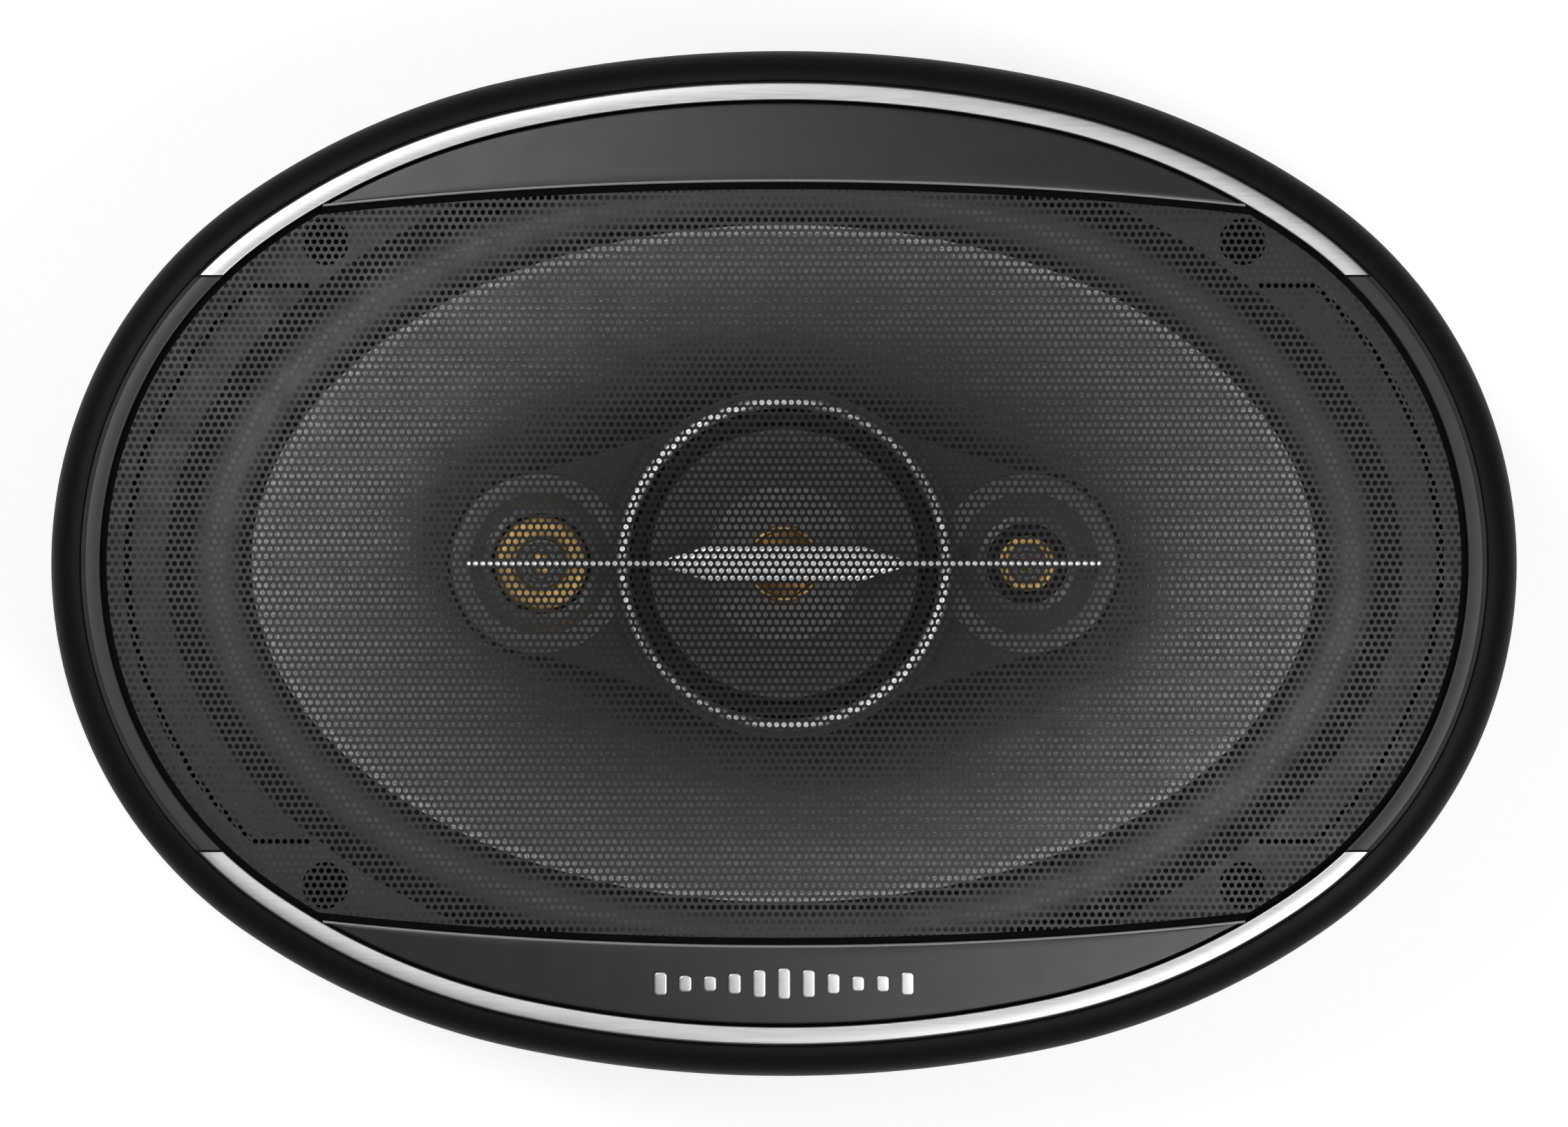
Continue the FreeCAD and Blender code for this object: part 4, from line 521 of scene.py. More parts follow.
def turned_metal(name, colour, roughness):
    """Plated steel with fine rings from turning and blotchy plating."""
    look = Look(name, colour, roughness, metallic=1.0)
    rings = look.math("SINE", look.math("MULTIPLY", look.reach(1.0, 1.0), TURN / 0.35))
    look.shade(look.noise(18, detail=5), 0.10)
    look.polish(look.noise(3.0, detail=4), roughness - 0.08, roughness + 0.10)
    look.relief(rings, 0.002)
    return look.material


def ferrite(name):
    """Ground ceramic magnet: grey-black, speckled, with faint chips."""
    look = Look(name, (0.055, 0.055, 0.058), 0.6, specular=0.4)
    return grained(look, (0.8, 6, 0.35), (4, 5, 0.45, 0.72), (0.5, 6, 0.03), (9, 3, 0.05))


def rubber(name, colour, roughness, specular=0.35, foot_z=0.0, crown_z=0.0):
    """Matte butyl; if those heights are given, painted shade makes it black at its feet and paler towards
    its crown, and it is duller at its feet.
    """
    look = Look(name, colour, roughness, specular=specular)
    if crown_z > foot_z:
        # painted shade: black at the feet, fading out towards the crown
        foot_shade_ramp = look.spread(look.along("Z"), foot_z * MM, crown_z * MM)
        patchy_foot_shade = look.math("MULTIPLY", foot_shade_ramp, look.spread(look.noise(9, detail=5), 0.3, 0.7, 0.8, 1.0))
        look.tint(patchy_foot_shade, tuple(c * 0.08 for c in colour), colour)
        gloss = look.spread(look.along("Z"), foot_z * MM, crown_z * MM, 1.0, roughness)
        look.links.new(gloss, look.shader.inputs["Roughness"])
    else:
        look.shade(look.noise(9, detail=5), 0.18)
        look.polish(look.noise(3, detail=4), roughness - 0.06, roughness + 0.06)
    look.relief(look.noise(0.5, detail=3), 0.015)
    return look.material


def foam(name):
    """Closed-cell foam with open pits in its skin."""
    look = Look(name, (0.13, 0.132, 0.132), 0.9, specular=0.2)
    look.shade(look.noise(2.5, detail=5), 0.25)
    look.relief(look.cells(0.55), 0.12)
    look.relief(look.noise(0.3, detail=3), 0.05)
    return look.material


def woven(name, colour, pitch, depth, roughness, contrast, specular=0.5, middle_shade=None, metallic=0.0):
    """Plain weave in plan: threads along X and Y pass over each other in turn.

    A middle shade of (x half size, y half size, share) is painted shade: it darkens the weave towards the
    middle, down to that share."""
    look = Look(name, colour, roughness, metallic, specular)
    step = math.pi / (pitch * MM)
    wave_x, wave_y = (look.math("SINE", look.math("MULTIPLY", look.along(axis), step)) for axis in "XY")
    which = look.spread(look.math("MULTIPLY", wave_x, wave_y), -0.25, 0.25)
    blend = look.node("ShaderNodeMix", {"Factor": which}, data_type="FLOAT")
    look.links.new(look.math("ABSOLUTE", wave_x), blend.inputs[2])
    look.links.new(look.math("ABSOLUTE", wave_y), blend.inputs[3])
    weave = blend.outputs[0]
    dark = tuple(c * (1 - contrast) for c in colour)
    light = tuple(min(1.0, c * (1 + contrast)) for c in colour)
    mottled = look.math("MULTIPLY", weave, look.spread(look.noise(12, detail=4), 0.3, 0.7, 0.7, 1.1))
    # painted shade: darker towards the middle, its dark end near black
    if middle_shade:
        middle_shade_ramp = look.spread(look.reach(middle_shade[0], middle_shade[1]), 0.5, 0.95, middle_shade[2], 1.0)
        mottled = look.math("MULTIPLY", look.spread(mottled, 0, 1, 0.5, 1.0), middle_shade_ramp)
        dark = tuple(c * 0.08 for c in colour)
    look.tint(mottled, dark, light)
    look.polish(look.noise(6, detail=3), roughness - 0.05, roughness + 0.05)
    look.relief(weave, depth)
    look.relief(look.noise(0.25, detail=3), 0.01)
    return look.material


def pulp(name, colour, roughness, specular=0.4):
    """Pressed paper pulp with short fibres."""
    look = Look(name, colour, roughness, specular=specular)
    return grained(look, (1.2, 6, 0.25), (4, 4, roughness - 0.06, roughness + 0.06), (0.7, 6, 0.03))


def gold_film(name, colour, roughness):
    """Metallised film, slightly crazed."""
    look = Look(name, colour, roughness, metallic=1.0)
    return grained(look, (1.5, 4, 0.12), (0.9, 4, roughness - 0.06, roughness + 0.08), (0.6, 2, 0.008))


def braid(name):
    """Copper-tinsel braid: crossing strands at a slant."""
    look = Look(name, (0.62, 0.36, 0.20), 0.38, metallic=0.9)
    one = look.noise(0.35, stretch=(1, 3, 1), detail=2)
    two = look.noise(0.35, stretch=(1, 1, 3), detail=2)
    strands = look.math("MAXIMUM", one, two)
    look.shade(strands, 0.3)
    look.polish(strands, 0.5, 0.3)
    look.relief(strands, 0.08)
    return look.material


def wound_wire(name):
    """Enamelled copper turns, one above the other."""
    look = Look(name, (0.55, 0.22, 0.09), 0.25, metallic=1.0)
    phase = look.math("MULTIPLY", look.along("Z"), math.pi / (0.25 * MM))
    turns = look.math("ABSOLUTE", look.math("SINE", phase))
    look.shade(look.noise(3, detail=3), 0.15)
    look.polish(turns, 0.45, 0.25)
    look.relief(turns, 0.06)
    return look.material


def white_floor(name):
    """Pale floor that glows like a light table, with a painted shadow under the object: grey there, and not
    glowing.
    """
    pale, shaded = (0.92, 0.92, 0.915), (0.30, 0.30, 0.30)
    look = Look(name, pale, 0.85, specular=0.1)
    # painted shadow: grey and not glowing under the object
    open_floor = look.spread(look.reach(GRILLE_A, GRILLE_B), SHADOW_SHARES[0], SHADOW_SHARES[1])
    look.tint(open_floor, shaded, pale)
    look.links.new(open_floor, look.shader.inputs["Emission Strength"])
    look.set("Emission Color", (FLOOR_GLOW, FLOOR_GLOW, FLOOR_GLOW, 1.0))
    return look.material


# moulded, painted and woven looks: name, colour, roughness, specular and then grain and depth, or a painted
# middle shade
MATERIALS = {
    "rim": moulded("rim_black", (0.0045, 0.0047, 0.0048), 0.46, 0.06, 0.4, 0.010),
    "band": moulded("band_grey", (0.011, 0.0112, 0.0112), 0.33, 0.28, 0.3, 0.006),
    "panel": moulded("panel_grey", (0.007, 0.0071, 0.0071), 0.31, 0.30, 0.3, 0.004),
    # the bead's pale grey is a painted highlight along the panels' rolled edges
    "bead": moulded("bead_painted_highlight", (0.14, 0.141, 0.141), 0.26, 0.7, 0.3, 0.002),
    # near-black painted shadow, for the lips along the mesh, the pads' edges and the discs over the
    # mounting holes
    "lip": moulded("painted_shadow_black", (0.003, 0.003, 0.003), 0.9, 0.02),
    "ring_grey": moulded("ring_grey", (0.22, 0.22, 0.222), 0.4, 0.5, 0.2, 0.006),
    "bridge": moulded("bridge_plastic", (0.030, 0.0305, 0.031), 0.40, 0.4, 0.5, 0.02),
    "waveguide": moulded("waveguide", (0.12, 0.1205, 0.121), 0.30, 0.8, 0.4, 0.008),
    "throat": moulded("throat_black", (0.008, 0.008, 0.008), 0.6, 0.2),
    "nylon": moulded("block_nylon", (0.018, 0.018, 0.019), 0.32, 0.5, 0.6, 0.01),
    "sleeve": moulded("heat_shrink", (0.02, 0.02, 0.022), 0.28, 0.5, 1.5, 0.02),
    "glue": moulded("glue_bead", (0.03, 0.028, 0.026), 0.18, 0.5, 2.0, 0.03),
    "silver": brushed("silver_arc", (0.325, 0.325, 0.325), 0.33),
    "bright": brushed("bright_trim", (0.86, 0.86, 0.87), 0.36, along=(8, 8, 1), contrast=0.04),
    "aluminium": brushed("former_aluminium", (0.75, 0.75, 0.74), 0.35, along=(6, 6, 1)),
    "tin": brushed("tinned_brass", (0.72, 0.70, 0.64), 0.30, along=(1, 1, 40), lines=0.12),
    # the sheet's last argument paints shade, darker towards its middle
    "sheet": painted_sheet("sheet_grey", (0.013, 0.0134, 0.0132), 0.42, 0.24, (*CONE_EDGE, 0.30)),
    "frame": painted_sheet("frame_black", (0.10, 0.102, 0.102), 0.42),
    "zinc": turned_metal("zinc_plate", (0.60, 0.60, 0.58), 0.34),
    "black_zinc": turned_metal("black_zinc", (0.08, 0.08, 0.085), 0.38),
    "ferrite": ferrite("ferrite"),
    # the surround's two heights paint shade on its feet
    "rubber": rubber("surround_rubber", (0.19, 0.192, 0.193), 0.34, 0.5, LIP_Z + 1.2, LIP_Z + 4.6),
    "mid_rubber": rubber("mid_surround", (0.012, 0.012, 0.012), 0.6, 0.2),
    "foam": foam("flange_foam"),
    # the cone's (x half size, y half size, share) paints shade, darker towards its middle
    "cone": woven("cone_weave", (0.55, 0.55, 0.55), 1.1, 0.10, 0.50, 0.25, 0.5, (*CONE_EDGE, 0.18), 0.5),
    "spider": woven("spider_cloth", (0.50, 0.36, 0.14), 0.55, 0.12, 0.75, 0.35, 0.25),
    "mid_cone": pulp("mid_pulp", (0.15, 0.151, 0.151), 0.60, 0.25),
    "cap": pulp("cap_grey", (0.22, 0.22, 0.22), 0.5),
    "gold": gold_film("gold_film", (0.64, 0.41, 0.15), 0.44),
    "gold_dark": gold_film("gold_brown", (0.34, 0.18, 0.06), 0.46),
    "copper": wound_wire("copper_wire"),
    "braid": braid("tinsel_braid"),
    "floor": white_floor("studio_floor"),
}

CAD_LOOKS = {
    "frame": ["basket"],
    "zinc": ["top_plate", "back_plate", "basket_rivets", "mid_top_plate", "mid_yoke", "terminal_rivet"],
    "black_zinc": ["bridge_screws", "post_bolt"],
    "ferrite": ["magnet", "mid_magnet"],
    "aluminium": ["voice_coil_former", "mid_former"],
    "copper": ["voice_coil_winding", "mid_winding"],
    "tin": ["lead_eyelets", "terminal_positive", "terminal_negative"],
    "bridge": ["bridge_housing", "centre_post"],
    "sleeve": ["capacitors"],
    "nylon": ["terminal_block"],
}
TWEETER_LOOKS = {
    "carrier": "throat", "coil": "copper", "top_plate": "zinc", "magnet": "ferrite", "yoke": "zinc",
}


def dress_cad_nodes():
    """Gives the CAD nodes that stay in view their materials."""
    looks = {node: look for look, nodes in CAD_LOOKS.items() for node in nodes}
    for side in ("left", "right"):
        looks.update({"tweeter_" + side + "_" + piece: look for piece, look in TWEETER_LOOKS.items()})
    for node, look in looks.items():
        thing = frame["nodes"][node]
        thing.data.materials.clear()
        thing.data.materials.append(MATERIALS[look])
        for polygon in thing.data.polygons:
            polygon.material_index = 0


def finish_piece(thing, look, nodes):
    """Material and the CAD nodes that a piece stands for."""
    thing.data.materials.append(MATERIALS[look])
    if nodes:
        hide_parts(*nodes)
    return thing


def place(thing, body, look, slot, *nodes):
    """Fixes a piece to one body."""
    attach(thing, body)
    return finish_piece(thing, look, nodes)


def stretch(thing, body, moving_share, look, slot, *nodes):
    """Bakes a piece's place into its mesh, gives it its material and hides the CAD nodes it stands for; the
    body and the moving share are not used.
    """
    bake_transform(thing)
    return finish_piece(thing, look, nodes)


def points_of(thing):
    """The piece's points in millimetres."""
    co = np.zeros(len(thing.data.vertices) * 3)
    thing.data.vertices.foreach_get("co", co)
    return co.reshape(-1, 3) / MM


# ---------------------------------------------------------------- grille
def grille_rim():
    """Black outer rim: skirt, round shoulder, and the ledge that holds the sheet."""
    shoulder = RIM_Z - RIM_ROUND
    arc = [(RIM_ROUND * (1 - math.cos(t)), shoulder + RIM_ROUND * math.sin(t))
           for t in np.linspace(0, math.pi / 2, 16)]
    inner = rounded([
        (RIM_WIDTH, RIM_Z, 0.12), (RIM_WIDTH, LEDGE_TOP_Z, 0.1), (LEDGE_INNER, LEDGE_TOP_Z, 0.25),
        (LEDGE_INNER, LEDGE_Z, 0.25), (WALL, LEDGE_Z, 0.5), (WALL, SKIRT_Z, 0.4), (0.0, SKIRT_Z, 0.5),
        (0.0, shoulder, 0.0),
    ], 4)[:-1]
    profile = arc + [tuple(p) for p in inner]
    return place(swept_ring("grille_rim", profile), "grille", "rim", "rim_black", "grille_frame")


CLIP_X, CLIP_Y = 46.0, 26.0
FOOT_HALF, CLIP_HALF = 1.5, 6.0


def grille_feet_and_clips():
    """Short feet that stand on the flange, and tongues that grip its edge, at the CAD's places."""
    edge = GRILLE_A - half("basket", 0)
    foot = rounded([(WALL + 0.1, FLANGE_Z, 0.15), (WALL + 0.1, LEDGE_Z, 0), (8.6, LEDGE_Z, 0),
                    (8.6, FLANGE_Z, 0.15)], 3)
    clip = rounded([(edge - 2.1, 0.5, 0.5), (edge - 2.1, LEDGE_Z, 0), (edge - 0.5, LEDGE_Z, 0),
                    (edge - 0.5, 0.5, 0.3)], 3)
    for sx, right in ENDS:
        for sy, top in SIDES:
            for profile, width, name in ((foot, FOOT_HALF, "foot"), (clip, CLIP_HALF, "clip")):
                for where, axis, centre in (("side", 0, CLIP_X), ("end", 1, CLIP_Y)):
                    full_name = "_".join(("grille", name, where, right, top))
                    thing = cut_run(full_name, profile, sx, sy, axis, centre, width)
                    place(thing, "grille", "rim", "rim_black")


def cut_run(name, profile, sx, sy, axis, centre, width):
    """Short stretch of a profile whose ends are square to an axis, round a place along that axis."""
    stations = np.linspace(centre - width, centre + width, 9)
    rows = []
    for inset, z in profile:
        angles = [angle_where(station, inset, axis) for station in stations]
        x, y = oval(angles, inset)
        rows.append(at_height(sx * x, sy * y, z))
    return bar_object(name, rows)


def bezel_band():
    """Dark band: a low ring with full-height stretches at the two ends."""
    shelf = BAND_Z - 0.9
    outer, inner = RIM_WIDTH + 0.1, BAND_INNER
    base = rounded([(outer, LEDGE_TOP_Z + 0.1, 0.1), (outer, shelf, 0), (inner, shelf, 0),
                    (inner, LEDGE_TOP_Z + 2.2, 0.1), (inner - 1.2, LEDGE_TOP_Z + 2.0, 0.1),
                    (inner - 1.2, LEDGE_TOP_Z + 0.1, 0.1)], 3)
    place(swept_ring("bezel_base", base), "grille", "rim", "bezel_grey", "grille_bezel")
    c = BAND_CHAMFER
    top = rounded([(outer, shelf - 0.02, 0), (outer, BAND_Z - c, 0.25), (outer + c, BAND_Z, 0.25),
                   (inner, BAND_Z, 0.25), (inner, shelf - 0.02, 0)], 4)
    for side, tag in ENDS:
        place(swept_end("bezel_band_" + tag, top, TRIM_START - 0.35, side), "grille", "band", "bezel_grey")


def trim_arcs():
    """Brushed silver arcs over the rest of the band."""
    outer, inner = RIM_WIDTH + 0.1 + TRIM_GROOVE, BAND_INNER - 0.05
    low_z, top_z = low("trim_arc_top").z, high("trim_arc_top").z
    profile = rounded([(outer, low_z, 0), (outer, top_z, 0.22), (inner, top_z, 0.22), (inner, low_z, 0)], 4)
    for side, tag in SIDES:
        thing = swept_arc("trim_" + tag, profile, TRIM_START, side, 400)
        place(thing, "grille", "silver", "silver_trim", "trim_arc_" + tag)


def panel_edge(x):
    """The panels' curved edge facing the mesh."""
    sag = PANEL_MIDDLE - PANEL_END
    radius = (PANEL_END_X ** 2 + sag ** 2) / (2 * sag)
    return PANEL_MIDDLE - radius + np.sqrt(radius ** 2 - x ** 2)


def band_edge(x):
    """The band's inner edge in y, for the panels' outer sides."""
    angles = np.linspace(0.05, math.pi / 2, 3000)
    xs, ys = oval(angles, BAND_INNER + TRIM_GROOVE)
    return np.interp(np.abs(x), xs[::-1], ys[::-1])


def panels():
    """Crescent panels above and below the mesh, with a rolled edge towards it."""
    tries = np.linspace(0, 100, 4001)
    reach = tries[band_edge(tries) - panel_edge(tries) > 0.15].max()
    stations = reach * np.sin(np.linspace(-math.pi / 2, math.pi / 2, 200))
    inner, outer = panel_edge(stations), band_edge(stations)
    width = outer - inner
    roll = np.minimum(PANEL_ROLL, width * 0.4)
    lip = np.minimum(PANEL_LIFT, width * 0.2)
    crown = PANEL_GAP + PANEL_THICK
    turns = np.linspace(0, math.pi / 2, 7)
    rows = [(inner, PANEL_GAP)]
    for t in turns:
        fall = (PANEL_THICK - PANEL_LIFT) * (1 - np.sin(t))
        rows.append((inner + roll * (1 - np.cos(t)) * 0.9, crown - fall))
    for share in np.linspace(0.12, 0.94, 12):
        rows.append((inner + roll + (width - roll - lip) * share, crown))
    for t in turns:
        rows.append((outer - lip * (1 - np.sin(t)), crown - lip * (1 - np.cos(t))))
    for share in (1.0, 0.66, 0.33):
        rows.append((inner + width * share, PANEL_GAP))
    for side, tag in SIDES:
        points = [np.stack([stations, side * y, dome_z(stations, y, lift)], axis=1) for y, lift in rows]
        place(bar_object("panel_" + tag, points), "grille", "panel", "bezel_grey")


def panel_beads():
    """Bead along each panel's edge on the mesh's side, its pale grey a painted highlight."""
    stations = np.linspace(-1, 1, 160) * (PANEL_END_X - 1.0)
    for side, tag in SIDES:
        edge = side * (panel_edge(stations) + BEAD_RADIUS)
        rows = []
        for t in np.linspace(0, TURN, 14, endpoint=False):
            y = edge + BEAD_RADIUS * math.cos(t)
            z = dome_z(stations, edge, PANEL_GAP + PANEL_THICK - BEAD_SUNK + BEAD_RADIUS * math.sin(t))
            rows.append(np.stack([stations, y, z], axis=1))
        place(bar_object("panel_bead_" + tag, rows), "grille", "bead", "bezel_grey")


def mesh_lip(x, y, inward, width):
    """Rows of a lip that presses on the mesh along a line and is width wide in the inward direction."""
    rows = []
    for u, v in ((-0.4, -0.3), (-0.4, 0.3), (0.8, 0.3), (1.0, 0.12), (1.0, -0.3)):
        px, py = x + inward[0] * u * width, y + inward[1] * u * width
        rows.append(np.stack([px, py, dome_z(px, py, v)], axis=1))
    return rows


def black_lips():
    """Near-black lips under the band and along the panels' edges, where the mesh is clamped; their black is
    painted shadow along those edges.
    """
    angles = even_angles(720)
    x, y = oval(angles, BAND_INNER)
    rows = mesh_lip(x, y, (-np.cos(angles), -np.sin(angles)), BAND_LIP)
    place(ring_object("band_lip", rows), "grille", "lip", "bezel_grey")
    stations = np.linspace(-1, 1, 160) * (PANEL_END_X + 2.5)
    for side, tag in SIDES:
        edge = side * panel_edge(stations)
        inward = (np.zeros_like(stations), np.full_like(stations, -side))
        rows = mesh_lip(stations, edge, inward, PANEL_LIP)
        place(bar_object("panel_lip_" + tag, rows), "grille", "lip", "bezel_grey")


def mark_bars():
    """Plain raised bars, rounded on top, where the CAD has them."""
    lo, hi = low("mark"), high("mark")
    centre, tall, w = middle("mark", 1), hi.y - lo.y, MARK_WIDTH / 2
    levels = [(1.0, 0.0), (1.0, 0.35), (0.97, 0.43), (0.88, 0.49), (0.70, 0.5)]
    points, faces = [], []
    for share in np.linspace(-1, 1, MARK_COUNT):
        x = share * (hi.x - lo.x - MARK_WIDTH) / 2
        swell = 0.5 + 0.5 * math.cos(1.5 * math.pi * share)
        h = (MARK_SHORT + (tall - MARK_SHORT) * swell) / 2
        outline = rounded([(-w, -h, 0.65), (w, -h, 0.65), (w, h, 0.65), (-w, h, 0.65)], 6)
        ring, first = len(outline), len(points) * len(outline)
        for scale, lift in levels:
            px, py = x + outline[:, 0] * scale, centre + outline[:, 1] * (1 - (1 - scale) * w / h)
            z = dome_z(px, py, PANEL_GAP + PANEL_THICK - 0.03 + lift)
            points.append(np.stack([px, py, z], axis=1))
        faces += (grid_faces(len(levels), ring, False, True) + first).tolist()
        faces.append([first + k for k in reversed(range(ring))])
        faces.append([first + (len(levels) - 1) * ring + k for k in range(ring)])
    mesh = bpy.data.meshes.new("mark_bars")
    mesh.from_pydata((np.concatenate(points) * MM).tolist(), [], faces)
    place(add_object(mesh, 40.0), "grille", "silver", "silver_trim", "mark")


def sheet_cells():
    """Centres of the staggered holes inside the band's inner edge or a little under it."""
    rows = np.arange(-int(SHEET_B / HOLE_ROW) - 1, int(SHEET_B / HOLE_ROW) + 2)
    columns = np.arange(-int(SHEET_A / HOLE_PITCH) - 1, int(SHEET_A / HOLE_PITCH) + 2)
    c, r = (g.ravel() for g in np.meshgrid(columns, rows))
    x = (c + 0.5 * (r % 2)) * HOLE_PITCH
    y = r * HOLE_ROW
    outline = even_angles(1600)
    ox, oy = oval(outline, BAND_INNER - 0.7)
    edge = np.hypot(ox, oy)
    at = np.arctan2(oy, ox) % TURN
    order = np.argsort(at)
    allowed = np.interp(np.arctan2(y, x) % TURN, at[order], edge[order], period=TURN)
    keep = np.hypot(x, y) < allowed
    return x[keep], y[keep]


def hexagon():
    """Corners of the cell round one hole of the staggered rows."""
    w, h = HOLE_PITCH / 2, HOLE_ROW
    top = (w * w + h * h) / (2 * h)
    side = h - top
    return np.array([(w, side), (0, top), (-w, side), (-w, -side), (0, -top), (w, -side)])


def strip_faces(where, rim, back):
    """Faces round the holes, front and back, then the holes' walls and the strip's outer skirt."""
    groups = []
    per = HOLE_SIDES // 6
    for k in range(6):
        ring = [rim[:, (per * k + j) % HOLE_SIDES] for j in range(per, -1, -1)]
        land = np.stack([where[:, k], where[:, (k + 1) % 6], *ring], axis=1)
        groups += [land, land[:, ::-1] + back]
    after = np.roll(rim, -1, axis=1)
    groups.append(np.stack([rim, after, after + back, rim + back], axis=2).reshape(-1, 4))
    edges = np.stack([where, np.roll(where, -1, axis=1)], axis=2).reshape(-1, 2).tolist()
    met = {(b, a) for a, b in edges}
    a, b = np.array([edge for edge in edges if tuple(edge) not in met]).T
    groups.append(np.stack([b, a, a + back, b + back], axis=1))
    return groups


def perforated_strip(name, x, y):
    """Sheet of one hexagonal cell round each hole, closed above, below and in the holes."""
    turn = np.radians(30.0 + np.arange(HOLE_SIDES) * 360.0 / HOLE_SIDES)
    hole = HOLE_RADIUS * np.stack([np.cos(turn), np.sin(turn)], axis=1)
    centres = np.stack([x, y], axis=1)[:, None, :]
    corners = (centres + hexagon()).reshape(-1, 2)
    keys, where = np.unique(np.round(corners * 1000).astype(int), axis=0, return_inverse=True)
    shared = np.zeros((len(keys), 2))
    shared[where.ravel()] = corners
    flat = np.vstack([shared, (centres + hole).reshape(-1, 2)])
    back = len(flat)
    front_z, back_z = (dome_z(flat[:, 0], flat[:, 1], lift) for lift in (0.0, -SHEET_THICK))
    points = np.vstack([np.column_stack([flat, front_z]), np.column_stack([flat, back_z])])
    rim = len(shared) + np.arange(len(x) * HOLE_SIDES).reshape(-1, HOLE_SIDES)
    groups = strip_faces(where.reshape(-1, 6), rim, back)
    indices = np.concatenate([g.ravel() for g in groups]).astype(np.int32)
    sizes = np.concatenate([np.full(len(g), g.shape[1]) for g in groups])
    mesh = bpy.data.meshes.new(name)
    mesh.vertices.add(len(points))
    mesh.vertices.foreach_set("co", (points * MM).astype(np.float32).ravel())
    mesh.loops.add(len(indices))
    mesh.loops.foreach_set("vertex_index", indices)
    mesh.polygons.add(len(sizes))
    mesh.polygons.foreach_set("loop_start", (np.cumsum(sizes) - sizes).astype(np.int32))
    mesh.update(calc_edges=True)
    mesh.validate()
    flat_map(mesh, points, len(shared), back)
    return add_object(mesh, 40.0)


def flat_map(mesh, points, shared, back):
    """Flat map for a perforated strip: front and hole walls in one half, back in the other."""
    lo, hi = points[:, :2].min(0), points[:, :2].max(0)
    spots = (points[:, :2] - lo) / (hi - lo).max() * (0.49, 0.98) + (0.005, 0.01)
    corner = np.zeros(len(mesh.loops), np.int32)
    mesh.loops.foreach_get("vertex_index", corner)
    total = np.zeros(len(mesh.polygons), np.int32)
    mesh.polygons.foreach_get("loop_total", total)
    face = np.repeat(np.arange(len(total)), total)
    is_back = (np.bincount(face, weights=corner >= back) == total)[face]
    uv = spots[corner]
    uv[is_back] += (0.5, 0)
    # the far end of a hole's wall is drawn inside the hole's outline
    inward = ~is_back & (corner >= back + shared)
    centres = spots[shared:back].reshape(-1, HOLE_SIDES, 2).mean(1)
    centre = centres[(corner[inward] - back - shared) // HOLE_SIDES]
    uv[inward] = centre + (uv[inward] - centre) * 0.7
    mesh.uv_layers.new(name="OFBake").data.foreach_set("uv", uv.astype(np.float32).ravel())


def grille_sheet():
    """The perforated sheet, in strips side by side that meet edge to edge."""
    x, y = sheet_cells()
    order = np.argsort(x, kind="stable")
    parts = np.array_split(order, SHEET_STRIPS)
    limits = [x[part].max() for part in parts[:-1]]
    strip = np.searchsorted(limits, x, side="left")
    for k in range(SHEET_STRIPS):
        chosen = strip == k
        thing = perforated_strip("mesh_strip_" + str(k + 1), x[chosen], y[chosen])
        nodes = ["grille_mesh"] if k == 0 else []
        place(thing, "grille", "sheet", "mesh_black", *nodes)


# ---------------------------------------------------------------- woofer
CONE_LIP = 2.0
CONE_WALL = 1.2
CONE_FLARE = 1.25
NECK_Z = low("woofer_cone").z
NECK_RADIUS = high("voice_coil_former").x + 0.05 + CONE_WALL
ROLL_WIDTH, ROLL_HEIGHT = 8.5, 4.5
SURROUND_LIP = 4.0
SKIN = 0.6
PAD_EDGE_WIDTH, PAD_EDGE_HEIGHT, PAD_END_RUN = 1.25, 0.3, 10.0
SHADE_DISC_RADIUS, SHADE_DISC_THICK = 3.9, 0.3


def cone():
    """Oval cone from the coil's former to the surround, its lip flat, glued to the former."""
    front, back = [], []
    for share in np.linspace(0, 1, 49):
        z = NECK_Z + (LIP_Z - NECK_Z) * share
        back.append((share ** CONE_FLARE, 0.0, min(z, LIP_Z - 0.8)))
        front.append((share ** CONE_FLARE, -CONE_WALL, z))
    lip = [(1.0, -CONE_WALL + 0.1, LIP_Z), (1.0, CONE_LIP - 0.2, LIP_Z), (1.0, CONE_LIP, LIP_Z - 0.2),
           (1.0, CONE_LIP, LIP_Z - 0.7), (1.0, CONE_LIP - 0.1, LIP_Z - 0.8)]
    thing = stretched_lathe("cone", front + lip + back[::-1], NECK_RADIUS, CONE_EDGE)
    place(thing, "woofer", "cone", "cone", "woofer_cone")
    bead = []
    for t in np.linspace(0, TURN, 14, endpoint=False):
        offset, z = -CONE_WALL - 0.02 + 1.5 * math.cos(t), NECK_Z + 0.9 + 1.5 * math.sin(t)
        bead.append((0.0, max(offset, -CONE_WALL - 0.03), max(z, NECK_Z + 0.2)))
    place(stretched_lathe("cone_glue", bead, NECK_RADIUS, CONE_EDGE), "woofer", "glue", "sleeve")


def half_roll(middle_at, half_width, foot_z, height):
    """Upper half of an ellipse, from its inner foot to its outer one."""
    turns = np.linspace(math.pi, 0, 25)
    return [(middle_at + half_width * math.cos(t), foot_z + height * math.sin(t)) for t in turns]


